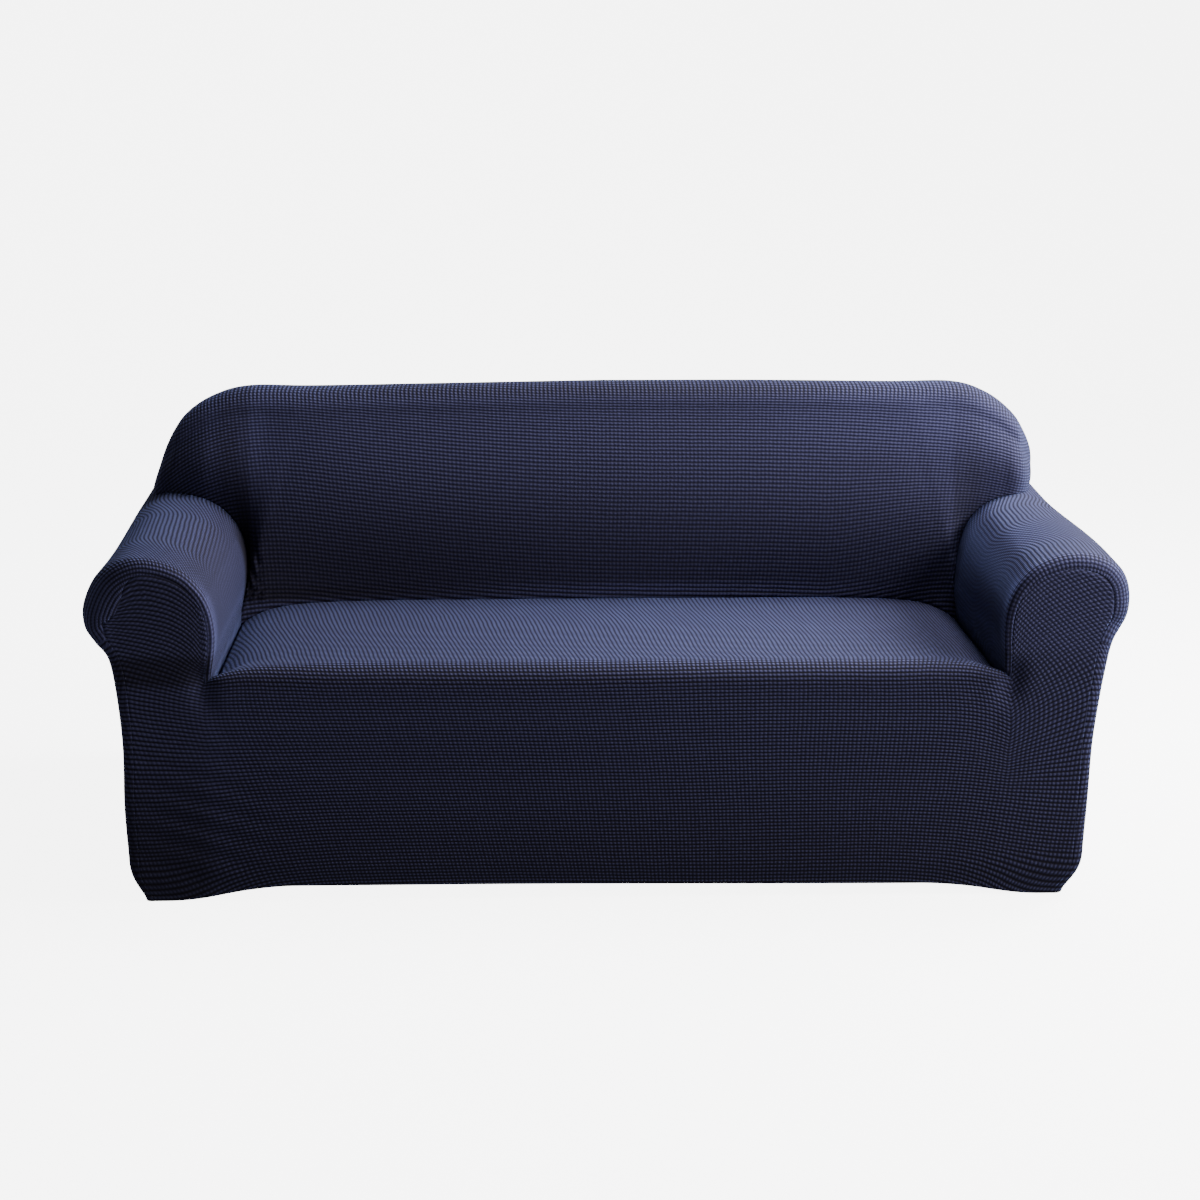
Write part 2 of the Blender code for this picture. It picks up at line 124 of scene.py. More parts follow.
# The back's upper edge, from the middle of the top round the corner and down the
# end. share: how far along the lower crease, from the middle of the seat (0) to
# the rear corner (1), the cloth comes from. out and up: the front edge line before
# it is rounded. rear_out and rear_up: the rear edge line.
RIGHT_BACK = (
    (0.00, 0.000, 0.939, 0.000, 0.877),
    (0.28, 0.330, 0.938, 0.330, 0.876),
    (0.52, 0.610, 0.934, 0.615, 0.873),
    (0.66, 0.750, 0.934, 0.754, 0.872),
    (0.72, 0.823, 0.911, 0.827, 0.853),
    (0.77, 0.876, 0.871, 0.882, 0.818),
    (0.82, 0.916, 0.820, 0.923, 0.770),
    (0.87, 0.946, 0.768, 0.953, 0.722),
    (0.93, 0.958, 0.720, 0.965, 0.684),
    (1.00, 0.980, 0.640, 0.980, 0.640),
)


def mix(a, b, share):
    return a + (b - a) * share


def ease(value):
    """0 below 0, 1 above 1 and smooth between them."""
    value = min(max(value, 0.0), 1.0)
    return value * value * (3.0 - 2.0 * value)


def risen(value, band):
    """0 before a band's start, 1 past its end and smooth between them."""
    start, reach = band
    return ease((value - start) / reach)


def fallen(value, band):
    return 1.0 - risen(value, band)


def within(value, first, last):
    """1 between two bands, 0 before the first and past the last."""
    return risen(value, first) * fallen(value, last)


def run_along(points):
    """How far along a line each of its points lies."""
    run = [0.0]
    for a, b in zip(points, points[1:]):
        run.append(run[-1] + math.dist(a, b))
    return run


def through(rows, place):
    """A smooth curve through a table's rows; place counts rows from 0."""
    last = len(rows) - 1
    i = min(max(int(place), 0), last - 1)
    t = place - i
    point = []
    for a, b, c, d in zip(rows[max(i - 1, 0)], rows[i], rows[i + 1], rows[min(i + 2, last)]):
        bend = 2 * a - 5 * b + 4 * c - d
        twist = 3 * b - a - 3 * c + d
        point.append(b + 0.5 * t * (c - a + t * (bend + t * twist)))
    return point


def place_of(rows, column, value):
    """The place at which one column of a table, which only rises, has a value."""
    low = 0.0
    high = len(rows) - 1.0
    for _ in range(HALVINGS):
        middle = (low + high) / 2
        if through(rows, middle)[column] < value:
            low = middle
        else:
            high = middle
    return low


def steps_between(rows, start, end, count):
    """Places from one row to another in steps of equal length, the first left out."""
    walk = [mix(start, end, k / (SAMPLES * count)) for k in range(SAMPLES * count + 1)]
    run = run_along([through(rows, place)[:2] for place in walk])
    places = []
    k = 0
    for step in range(1, count + 1):
        goal = run[-1] * step / count
        while k < len(run) - 2 and run[k + 1] < goal:
            k += 1
        places.append(mix(walk[k], walk[k + 1], (goal - run[k]) / (run[k + 1] - run[k])))
    return places


def hill(value, middle, width):
    """1 at the middle and 0 far away, like a soft mound."""
    return math.exp(-(((value - middle) / width) ** 2))


def quarter_turns():
    return [math.pi / 2 * k / EDGE_STEPS for k in range(EDGE_STEPS + 1)]


# The groove down the skirt from the front end of each seat and arm crease
GROOVE_OUT = 0.782
GROOVE_TOP = 0.462
GROOVE_DEPTH = 0.012
GROOVE_WIDTH = 0.022
GROOVE_RISE = 0.045
GROOVE_FALL = 0.090
GROOVE_BACK = 0.060

# How the knit's columns lie on the front: they fan out upwards from a middle line,
# and on the arm fronts they lean outwards
SEAT_EDGE_HEIGHT = 0.486
FAN_MIDDLE = 0.40
FAN = 0.33
FAN_CALM = 0.45
FAN_CALM_BAND = (0.55, 0.35)
TURN_REACH = 0.12
TURN_COLUMNS = {-1.0: math.radians(36), 1.0: math.radians(38)}
TURN_START = 0.33
TURN_HEIGHT = 0.16
COLUMN_CLOSER_BAND = (0.28, 0.26)
COLUMN_STRAY = 0.0018
COLUMN_STRAY_WAVES = (9.0, 17.0)

# How its rows lie: closer together along the middle of the skirt than at its ends,
# turned towards the grooves on the arm fronts, and drawn up beside the grooves
ROW_CLOSER = 0.10
ROW_CLOSER_HEIGHT = 0.28
ROW_CLOSER_BAND = (0.50, 0.35)
TURN_ROWS = {-1.0: math.radians(12), 1.0: math.radians(21)}
TURN_ROWS_BAND = (0.18, 0.32)
TURN_EASE = 0.35
TURN_EASE_BAND = (0.48, 0.14)
ARM_ROW_EASE = 0.16
ROW_SAG = {-1.0: (0.028, 0.046, (0.36, 0.15)), 1.0: (0.034, 0.062, (0.20, 0.15))}
ROW_DROP = 0.026
ROW_DROP_BAND = (0.66, 0.26)
ROW_DROP_HEIGHT = (0.05, 0.35)
ROW_STRAY = 0.0020
ROW_STRAY_WAVES = (7.0, 5.0)


def eased_run(value):
    """How far something has come whose speed eases from 0 to 1 as value does."""
    start = min(max(value, 0.0), 1.0)
    return start ** 3 - start ** 4 / 2 + max(value - 1.0, 0.0)


def sway(x, z, rates):
    return math.sin(x * rates[0] + z * rates[1])


def front_knit(point):
    """Where a point of the front lies on the flat cloth."""
    x, _, z = point
    side = math.copysign(1.0, x)
    away = abs(x) - GROOVE_OUT
    outward = max(away, 0.0)
    rise = z - GROOVE_TOP
    fade = 1.0 if away > 0 else math.exp(away / TURN_REACH)
    below = max(SEAT_EDGE_HEIGHT - z, 0.0)
    fan = (x - FAN_MIDDLE) * (1.0 - FAN_CALM * risen(abs(x), FAN_CALM_BAND))
    lean = TURN_COLUMNS[side]
    drift = math.tan(lean) * TURN_HEIGHT * eased_run((z - TURN_START) / TURN_HEIGHT)
    closer = (1.0 - math.cos(lean)) * risen(z, COLUMN_CLOSER_BAND)
    u = x + FAN * fan * below + side * fade * (drift - outward * closer)
    u += COLUMN_STRAY * sway(x, z, COLUMN_STRAY_WAVES)
    close = ROW_CLOSER * fallen(abs(x), ROW_CLOSER_BAND)
    v = z + close * (z - ROW_CLOSER_HEIGHT) - ARM_ROW_EASE * max(rise, 0.0)
    rows = TURN_ROWS[side] * risen(z, TURN_ROWS_BAND)
    rows *= 1.0 - TURN_EASE * risen(z, TURN_EASE_BAND)
    v += fade * (rise * (math.cos(rows) - 1.0) - outward * math.sin(rows))
    depth, reach, sag_band = ROW_SAG[side]
    v += depth * math.exp(-abs(away) / reach) * risen(z, sag_band)
    v += ROW_DROP * risen(abs(x), ROW_DROP_BAND) * fallen(z, ROW_DROP_HEIGHT)
    v += ROW_STRAY * sway(x, z, ROW_STRAY_WAVES)
    return u, v


COLUMN_RATE = 0.95


class Arm:
    """The panel over one arm, as lines that run from its front seam to its rear."""

    def __init__(self, side, rows, back_rows):
        self.side = side
        self.rows = rows
        self.back_rows = back_rows
        places = [0.0]
        places += steps_between(rows, 0, ARCH_START, WALL_STEPS)
        places += steps_between(rows, ARCH_START, ARCH_END, ARCH_STEPS)
        places += steps_between(rows, ARCH_END, SHOULDER, WALL_STEPS)
        places += steps_between(rows, SHOULDER, HEM_TOP, SKIRT_STEPS)
        places += steps_between(rows, HEM_TOP, len(rows) - 1, HEM_STEPS)
        self.run = run_along([through(rows, place)[:2] for place in places])
        self.neck = next(k for k, place in enumerate(places) if place >= NECK)
        self.lines = [self.line(place) for place in places]
        self.rear_lines = [self.rear_line(place) for place in places[CORNER_LINE:]]
        self.front_seam = [line[0] for line in self.lines]
        self.seat_crease = self.lines[0]
        self.back_crease = [line[-1] for line in self.lines[:CORNER_LINE + 1]]
        self.rear_seam = [line[-1] for line in self.rear_lines]

    def laid(self, place, spots):
        """Points on the section at a place, from pairs of inset and depth."""
        out, up, _, _, sink, sag = through(self.rows, place)
        ahead = through(self.rows, min(place + LOOK, len(self.rows) - 1))
        behind = through(self.rows, max(place - LOOK, 0))
        along = Vector((ahead[0] - behind[0], ahead[1] - behind[1])).normalized()
        points = []
        for inset, y in spots:
            move = inset + sink * risen(y, SINK_BAND)
            move += sag * math.sin(math.pi * y / REAR_DEPTH)
            x = out + along.y * move
            z = up - along.x * move
            if place == 0:
                z -= inset + CREASE_SINK * risen(y, CREASE_SINK_BAND)
            points.append(Vector((self.side * x, y, z)))
        return points

    def line(self, place):
        """From the front seam over the front edge and back to the crease or rear.
        The line in the seat crease also dips at the front edge."""
        edge, rear = through(self.rows, place)[2:4]
        rear = min(rear, REAR_START)
        outer = within(place, *OUTER_ROWS)
        strip = SEAM_STRIP + OUTER_STRIP[self.side] * outer
        dip = SEAM_DIP[self.side] * outer
        spots = [(edge + strip, dip), (edge + strip / 2, dip / 4)]
        for turn in quarter_turns():
            spots.append((edge * (1 - math.sin(turn)), edge * (1 - math.cos(turn))))
        for k in range(1, ARM_STEPS + 1):
            spots.append((0.0, mix(edge, rear, k / ARM_STEPS)))
        return self.laid(place, spots)

    def rear_line(self, place):
        """Round the rear edge and on to the seam on the rear face."""
        spots = []
        for turn in quarter_turns():
            inset = REAR_RADIUS * (1 - math.cos(turn))
            spots.append((inset, REAR_START + REAR_RADIUS * math.sin(turn)))
        spots.append((REAR_RADIUS + SEAM_STRIP, REAR_DEPTH))
        return self.laid(place, spots)

    def knit(self):
        """Where each line's points lie on the flat cloth: the run over the roll,
        and the depth. The columns wander a little as they run back."""
        maps = []
        for line, run in zip(self.lines, self.run):
            lengths = run_along(line)
            start = lengths[EDGE_END] - line[EDGE_END].y
            maps.append([
                (run * COLUMN_RATE + wander(self.side, point), length - start)
                for point, length in zip(line, lengths)
            ])
        return maps

    def rear_knit(self):
        maps = []
        for line, run in zip(self.rear_lines, self.run[CORNER_LINE:]):
            maps.append([
                (run * COLUMN_RATE + wander(self.side, point), REAR_START + length)
                for point, length in zip(line, run_along(line))
            ])
        return maps

    def patches(self):
        """The cloth over the arm, and below the roll the outer part, where the rows
        of the front carry on round both corners."""
        neck = self.neck
        rear_neck = neck - CORNER_LINE
        front = []
        rear = []
        for line, rear_line in zip(self.lines[neck:], self.rear_lines[rear_neck:]):
            u, v = front_knit(line[0])
            front.append([(u + self.side * length, v) for length in run_along(line)])
            u = front[-1][-1][0]
            rear.append([(u + self.side * length, v) for length in run_along(rear_line)])
        return [
            (self.lines[:neck + 1], self.knit()[:neck + 1]),
            (self.lines[neck:], front),
            (self.rear_lines[:rear_neck + 1], self.rear_knit()[:rear_neck + 1]),
            (self.rear_lines[rear_neck:], rear),
        ]


LEFT_SLANT = 0.080
LEFT_REAR_DRIFT = 0.040
LEFT_REAR_BAND = (0.36, 0.16)
LEFT_FRONT_DRIFT = 0.080
LEFT_FRONT_BAND = (-0.06, 0.22)
LEFT_OUTER_BAND = (0.80, 0.17)
LEFT_OUTER_DRIFT = 0.035
LEFT_OUTER_REACH = 0.05
RIGHT_DRIFT = 0.070
RIGHT_BAND = (0.10, 0.22)
RIGHT_RETURN = 0.030
RIGHT_RETURN_BAND = (0.42, 0.13)


def wander(side, point):
    """How far an arm's columns stray: as they come forward they drift towards +X, in
    two steps on the arm at -X, the second longer on the roll's outer side, and mostly
    about the middle on the other."""
    x, y, _ = point
    if side > 0:
        return RIGHT_DRIFT * risen(y, RIGHT_BAND) - RIGHT_RETURN * risen(y, RIGHT_RETURN_BAND)
    outer = risen(-x, LEFT_OUTER_BAND)
    start, reach = LEFT_FRONT_BAND
    front = fallen(y, (start, reach + LEFT_OUTER_REACH * outer))
    drift = LEFT_REAR_DRIFT * fallen(y, LEFT_REAR_BAND) - LEFT_SLANT * y
    return drift + (LEFT_FRONT_DRIFT + LEFT_OUTER_DRIFT * outer) * front


# How far the rear corner of the seat stands in from the arm at +X
CORNER_PULL = 0.018
CORNER = (0.765, 0.470, 0.470)
CORNER_REACH = (0.09, 0.24, 0.09)

# The hem: how far it drops at the corners and falls to +X, and how far its edge is
# drawn in, most at the front and rear corners
HEM_HEIGHT = 0.030
HEM_CORNER = 0.28
HEM_OUT = 0.90
HEM_FALL = 0.006
HEM_FALL_BAND = (-0.30, 1.0)
HEM_DRAW = 0.005
HEM_DRAW_CORNER = {-1.0: 0.027, 1.0: 0.037}
HEM_DRAW_HEIGHT = 0.066
HEM_DRAW_START = 0.70
HEM_CURL = 2.2


def settle(point):
    """Lower the hem to the floor at the corners, draw its edge inward, sink the
    grooves in the skirt and pull in the rear corner of the seat."""
    x, y, z = point
    at_front = ease(1.0 - y / HEM_CORNER)
    at_rear = ease(1.0 - (REAR_DEPTH - y) / HEM_CORNER)
    at_end = max(at_front, at_rear)
    corner = at_end * ease(1.0 - (HEM_OUT - abs(x)) / HEM_CORNER)
    low = fallen(z, (HEM_HEIGHT, HEM_DRAW_HEIGHT))
    outer = risen(abs(x), (HEM_DRAW_START, HEM_OUT - HEM_DRAW_START))
    corner_draw = HEM_DRAW_CORNER[math.copysign(1.0, x)]
    draw = mix(HEM_DRAW, corner_draw, at_end ** 2) * outer * low ** HEM_CURL
    tuck = HEM_DRAW * (at_front - at_rear) * low ** 2
    across = hill(abs(x), GROOVE_OUT, GROOVE_WIDTH)
    reach = GROOVE_FALL if z < GROOVE_TOP else GROOVE_RISE
    along = 1.0 - ease(abs(z - GROOVE_TOP) / reach)
    sink = GROOVE_DEPTH * across * along * (1.0 - ease(y / GROOVE_BACK))
    away = 0.0
    for value, middle, size in zip(point, CORNER, CORNER_REACH):
        away += ((value - middle) / size) ** 2
    pull = CORNER_PULL * math.exp(-away)
    drop = HEM_HEIGHT * corner + HEM_FALL * risen(x, HEM_FALL_BAND) * (1.0 - corner)
    moved = Vector((x - pull - math.copysign(draw, x), y + sink + tuck, z - drop * low))
    return moved + folds(point)


FRONT_DEPTH = 0.05

# Shallow ripples across the skirt below the arm at -X
RIPPLE = 0.0016
RIPPLE_OUT = (-0.80, 0.13)
RIPPLE_UP = (0.17, 0.12)
RIPPLE_SLANT = 0.35
RIPPLE_RATE = 120.0

# A faint hollow below each groove, running inwards as it falls
HOLLOW = 0.0012
HOLLOW_WIDTH = 0.018
HOLLOW_SLANT = 0.30
HOLLOW_RUN = ((0.0, 0.04), (0.04, 0.12))

# At -X thin creases fan up the back from the rear corner of the seat, between these
# angles and distances from that corner, and end before the back turns over
CREASE = 0.0038
CREASE_ROOT = (-0.712, 0.470)
CREASE_DEPTHS = (0.40, 0.65)
CREASE_TURN = ((1.55, 0.20), (2.45, 0.25))
CREASE_RUN = ((0.0, 0.03), (0.05, 0.13))
CREASE_END = (0.58, 0.06)
CREASE_RATE = 34.0

# A small pucker in the front seam where the roll at +X turns under
PUCKER_IN = 0.003
PUCKER_BACK = 0.004
PUCKER_OUT = (0.985, 0.020)
PUCKER_UP = (0.560, 0.014)


def on_front(y):
    """1 on the front face and 0 a little behind it."""
    return 1.0 - ease(y / FRONT_DEPTH)


def folds(point):
    """The soft creases in the cloth, each laid in its own place."""
    x, y, z = point
    front = on_front(y)
    move = Vector()
    ripple = front * hill(x, *RIPPLE_OUT) * hill(z, *RIPPLE_UP)
    move.y -= RIPPLE * ripple * math.sin((z + RIPPLE_SLANT * x) * RIPPLE_RATE)
    below = GROOVE_TOP - z
    line = abs(x) - GROOVE_OUT + HOLLOW_SLANT * below
    run = within(below, *HOLLOW_RUN)
    move.y += HOLLOW * run * hill(line, 0.0, HOLLOW_WIDTH) * front
    if x < 0 and CREASE_DEPTHS[0] < y < CREASE_DEPTHS[1]:
        aside = x - CREASE_ROOT[0]
        height = z - CREASE_ROOT[1]
        reach = math.hypot(aside, height)
        turn = math.atan2(height, aside)
        fan = within(turn, *CREASE_TURN) * within(reach, *CREASE_RUN)
        fan *= fallen(y, CREASE_END)
        move.y -= CREASE * fan * math.cos(turn * CREASE_RATE)
    pucker = hill(x, *PUCKER_OUT) * hill(z, *PUCKER_UP) * front
    move.x -= PUCKER_IN * pucker
    move.y += PUCKER_BACK * pucker
    return move


# Neighbouring sheets stand this far apart; the limit is for sharp corners
SEAM_GAP = 0.0002
MITRE_LIMIT = 0.5


def part_seams(mesh):
    """Draw the sheet's border in by half a seam gap, square to its edges."""
    sides = {}
    for edge in mesh.edges:
        if not edge.is_boundary:
            continue
        face = edge.link_faces[0]
        start, end = edge.verts
        inward = face.normal.cross(end.co - start.co).normalized()
        if inward.dot(face.calc_center_median() - start.co) < 0:
            inward.negate()
        for vertex in (start, end):
            sides.setdefault(vertex, []).append(inward)
    for vertex, (first, second) in sides.items():
        inward = (first + second).normalized()
        vertex.co += inward * SEAM_GAP / 2 / max(inward.dot(first), MITRE_LIMIT)


# The pull is whole on the seat and the skirt, greatest on the front face, and gone up
# the back; over the arms it eases a little, or much at +X. On the rear it fades upwards.
ARM_FRONT_OUT = 0.77
PULL_DEPTH = 0.55
PULL_TOP = (0.50, 0.02)
PULL_FRONT = 0.18
PULL_ARM_EASE = {-1.0: 0.15, 1.0: 0.75}
PULL_ARM_BAND = (0.42, 0.10)
PULL_REAR_HEIGHT = (0.25, 0.50)
PULL_REAR_DEPTH = (0.62, 0.18)


def row_pull(point):
    """How hard the cloth is drawn down, which opens the grooves between its rows."""
    x, y, z = point
    if abs(x) < ARM_FRONT_OUT or y > PULL_DEPTH:
        pull = fallen(z, PULL_TOP) * (1.0 + PULL_FRONT * on_front(y))
    else:
        pull = 1.0 - PULL_ARM_EASE[math.copysign(1.0, x)] * risen(z, PULL_ARM_BAND)
    return mix(pull, fallen(z, PULL_REAR_HEIGHT), risen(y, PULL_REAR_DEPTH))


SPREAD_UP = (0.35, 0.45)
SPREAD_LEFT = 0.10
SPREAD_SKIRT = 0.40
SPREAD_SKIRT_OUT = (-0.78, 0.10)
SPREAD_RIGHT = 0.10
SPREAD_RIGHT_OUT = (0.77, 0.05)
SPREAD_RIGHT_HEIGHT = (0.42, 0.08)


def column_spread(point, facing_up):
    """How far the cloth is drawn apart sideways, which opens the grooves between its
    columns: over the seat and arms, and half as far down the front, where it is least
    on the arm front at -X."""
    x, y, z = point
    level = SPREAD_LEFT + SPREAD_SKIRT * risen(x, SPREAD_SKIRT_OUT)
    level += SPREAD_RIGHT * risen(x, SPREAD_RIGHT_OUT) * risen(z, SPREAD_RIGHT_HEIGHT)
    return max(risen(facing_up, SPREAD_UP), on_front(y) * level)


# How much paler or darker the thread is made in a place, and the place's bands along X,
# out from the middle, in depth and in height. The spread part stands for the cloth
# stretched over the seat and the arms; all the rest is painted light and painted shade.
# The seat, with painted light on its middle and front edge and painted shade towards -X:
SPREAD_PALE = 0.45
SPREAD_CALM = 0.6
PALE_AHEAD = (0.64, 0.14)
SEAT_UP = ((0.44, 0.02), (0.50, 0.02))
SEAT_PAINTED_LIGHT = 0.80
SEAT_HILL = (0.20, 0.50)
SEAT_LEFT_PAINTED_SHADE = 0.14
SEAT_LEFT = (0.0, 0.5)
SEAT_EDGE_PAINTED_LIGHT = 0.26
SEAT_EDGE_ALONG = (-0.1, 0.6)
# The front with painted light above and painted shade at its foot, painted light on the
# arm front at +X and painted shade at -X, and a painted highlight on the rolls' outer edges:
SKIRT_PAINTED_LIGHT = 0.80
SKIRT_RIGHT_LESS_PAINTED_LIGHT = 0.26
SKIRT_RIGHT = (0.3, 0.4)
SKIRT_UP = (0.10, 0.34)
FOOT_PAINTED_SHADE = 0.16
FOOT_UP = (0.04, 0.16)
RIGHT_FRONT_PAINTED_LIGHT = 0.34
RIGHT_FRONT_OUT = (0.77, 0.06)
RIGHT_FRONT_UP = (0.40, 0.15)
LEFT_FRONT_PAINTED_SHADE = 0.38
LEFT_UPPER_PAINTED_SHADE = 0.16
LEFT_FRONT_OUT = (0.75, 0.06)
LEFT_FRONT_UP = (0.30, 0.15)
ROLL_PAINTED_HIGHLIGHT = {-1.0: 1.20, 1.0: 0.50}
ROLL_OUT = (0.935, 0.04)
# The inner walls of the arms, in painted shade:
WALL_PAINTED_SHADE = 0.34
WALL_OUT = ((0.74, 0.012), (0.79, 0.04))
WALL_UP = (0.50, 0.04)
WALL_BACK = (0.02, 0.05)
# The back's upper rim and its foot in painted shade, its end at +X and its rounded
# corners in painted light:
RIM_PAINTED_SHADE = 0.60
RIM_UP = (0.890, 0.025)
RIM_OUT = (0.40, 0.30)
BACK_DEPTH = (0.30, 0.05)
END_PAINTED_LIGHT = 0.38
END_ALONG = (0.2, 0.5)
END_UP = (0.76, 0.08)
BACK_FOOT_PAINTED_SHADE = 0.46
BACK_FOOT_SHADE_EASE = 0.36
BACK_FOOT_DEPTH = (0.43, 0.04)
BACK_FOOT_UP = ((0.479, 0.010), (0.52, 0.32))
BACK_FOOT_OUT = (0.76, 0.03)
TURNED_PAINTED_LIGHT = {-1.0: 0.16, 1.0: 0.32}
TURNED_HILL = (0.76, 0.09)
TURNED_UP = ((0.66, 0.12), (0.88, 0.03))


def stretch_and_painted_light_share(point, spread):
    """How much of the lilac thread shows: more where the cloth is stretched over the
    seat and the arms; the rest is painted light and painted shade, brighter where light
    falls and darker at the foot of the back and the hem."""
    x, y, z = point
    side = math.copysign(1.0, x)
    out = abs(x)
    front = on_front(y)
    ahead = fallen(y, PALE_AHEAD)
    seat = within(z, *SEAT_UP) * ahead
    # The stretch over the seat and arms shows more thread; the rest below is painted light
    # and painted shade
    share = 1.0 + SPREAD_PALE * spread * (1.0 - SPREAD_CALM * front)
    # Painted light on the middle of the seat and its front edge at +X, painted shade towards
    # -X
    middle = SEAT_PAINTED_LIGHT * hill(x, *SEAT_HILL) - SEAT_LEFT_PAINTED_SHADE * risen(-x, SEAT_LEFT)
    share += seat * (1.0 - front) * middle
    share += SEAT_EDGE_PAINTED_LIGHT * seat * front * risen(x, SEAT_EDGE_ALONG)
    # Painted light on the upper skirt, less of it at +X, and painted shade at its foot
    skirt = SKIRT_PAINTED_LIGHT - SKIRT_RIGHT_LESS_PAINTED_LIGHT * risen(x, SKIRT_RIGHT)
    share += front * skirt * risen(z, SKIRT_UP) * (1.0 - seat)
    share -= front * FOOT_PAINTED_SHADE * fallen(z, FOOT_UP)
    # Painted light on the arm front at +X, painted shade at -X, a painted highlight on the
    # rolls' outer edges
    share += front * RIGHT_FRONT_PAINTED_LIGHT * risen(x, RIGHT_FRONT_OUT) * risen(z, RIGHT_FRONT_UP)
    left_painted_shade = LEFT_FRONT_PAINTED_SHADE + LEFT_UPPER_PAINTED_SHADE * risen(z, LEFT_FRONT_UP)
    share -= front * left_painted_shade * risen(-x, LEFT_FRONT_OUT)
    share += front * ROLL_PAINTED_HIGHLIGHT[side] * risen(out, ROLL_OUT)
    # Painted shade on the arms' inner walls, the back's top rim and its foot; painted light
    # on the back's end at +X and its rounded corners
    wall = within(out, *WALL_OUT) * risen(z, WALL_UP) * risen(y, WALL_BACK)
    rim = risen(z, RIM_UP) * fallen(out, RIM_OUT)
    end = risen(x, END_ALONG) * risen(z, END_UP) * risen(y, BACK_DEPTH)
    back_foot_shade = risen(y, BACK_FOOT_DEPTH) * within(z, *BACK_FOOT_UP) * fallen(out, BACK_FOOT_OUT)
    turned = hill(out, *TURNED_HILL) * within(z, *TURNED_UP) * risen(y, BACK_DEPTH)
    behind = END_PAINTED_LIGHT * end + TURNED_PAINTED_LIGHT[side] * turned - WALL_PAINTED_SHADE * wall
    behind -= RIM_PAINTED_SHADE * rim + (BACK_FOOT_PAINTED_SHADE - BACK_FOOT_SHADE_EASE * x) * back_foot_shade
    return share + behind * ahead


MERGE = 0.00001


def add_panel(name, patches, inside):
    """One panel of cloth from grids of points, each with its place on the knit."""
    mesh = bmesh.new()
    chart = mesh.loops.layers.uv.new("knit")
    pulled = mesh.verts.layers.float.new("pull")
    spread = mesh.verts.layers.float.new("spread")
    # How much of the lilac thread shows: the stretch over the seat and arms, plus painted
    # light and painted shade
    stretch_and_painted_light = mesh.verts.layers.float.new("stretch_and_painted_light")
    for points, places in patches:
        rows = len(points) - 1
        columns = len(points[0]) - 1
        grid = bmesh.ops.create_grid(mesh, x_segments=columns, y_segments=rows, size=1.0)
        spot = {}
        faces = set()
        for vertex in grid["verts"]:
            i = round((vertex.co.x + 1) / 2 * columns)
            j = round((vertex.co.y + 1) / 2 * rows)
            spot[vertex] = places[j][i]
            faces.update(vertex.link_faces)
            vertex.co = settle(points[j][i]) - TOP_MOUNT
        for face in faces:
            for loop in face.loops:
                loop[chart].uv = spot[loop.vert]
    bmesh.ops.remove_doubles(mesh, verts=mesh.verts[:], dist=MERGE)
    bmesh.ops.recalc_face_normals(mesh, faces=mesh.faces[:])
    outward = 0.0
    for face in mesh.faces:
        away = face.calc_center_median() + TOP_MOUNT - Vector(inside)
        outward += away.dot(face.normal) * face.calc_area()
    if outward < 0:
        bmesh.ops.reverse_faces(mesh, faces=mesh.faces[:])
    part_seams(mesh)
    mesh.normal_update()
    for vertex in mesh.verts:
        point = vertex.co + TOP_MOUNT
        vertex[pulled] = row_pull(point)
        vertex[spread] = column_spread(point, vertex.normal.z)
        vertex[stretch_and_painted_light] = stretch_and_painted_light_share(point, vertex[spread])
    data = bpy.data.meshes.new(name + "_cloth")
    mesh.to_mesh(data)
    mesh.free()
    data.shade_smooth()
    data.materials.append(two_tone_knit)
    panel = bpy.data.objects.new(name + "_cloth", data)
    bpy.context.scene.collection.objects.link(panel)
    shell = panel.modifiers.new("cloth", "SOLIDIFY")
    shell.thickness = CLOTH_THICKNESS
    shell.offset = -1.0
    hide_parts(name)
    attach(panel, "root")


def colour(code):
    """Linear colour of an sRGB hex code."""
    parts = [int(code[k:k + 2], 16) / 255 for k in (0, 2, 4)]
    linear = [p / 12.92 if p <= 0.04045 else ((p + 0.055) / 1.055) ** 2.4 for p in parts]
    return (*linear, 1.0)


def add_node(tree, kind, links=(), **settings):
    """A node with its settings and its links, given as (input, output socket)."""
    node = tree.nodes.new(kind)
    for key, value in settings.items():
        setattr(node, key, value)
    for socket, source in links:
        if isinstance(source, (int, float, tuple)):
            node.inputs[socket].default_value = source
        else:
            tree.links.new(source, node.inputs[socket])
    return node


def calc(tree, operation, a, b=0.0, c=0.0):
    links = [(0, a), (1, b), (2, c)]
    return add_node(tree, "ShaderNodeMath", links, operation=operation).outputs[0]


COLUMN_PITCH = 0.0086
ROW_PITCH = 0.0080
CHECK_DARK = "0f0914"
CHECK_LIGHT = "454469"
ROW_GROOVE = 0.74
ROW_PULLED = 0.22
COLUMN_GROOVE = 0.42
COLUMN_SPREAD = 0.54
KNIT_RELIEF = 0.0016
KNIT_ROUGHNESS = 0.82
KNIT_SPECULAR = 0.25
SHEEN_COLOUR = "a2b3ff"
SHEEN = 0.04
SHEEN_RAISED = 0.47
SHEEN_ROUGHNESS = 0.45
UNEVEN_SCALE = 28.0
UNEVEN_SHIFT = (0.0030, 0.0022, 0.0)
SPECKLE_SCALE = 160.0
SPECKLE = 0.50
FADE_SCALE = 2.6
FADE = 0.10


def add_noise(tree, place, scale, detail):
    links = [("Vector", place), ("Scale", scale), ("Detail", detail)]
    return add_node(tree, "ShaderNodeTexNoise", links).outputs


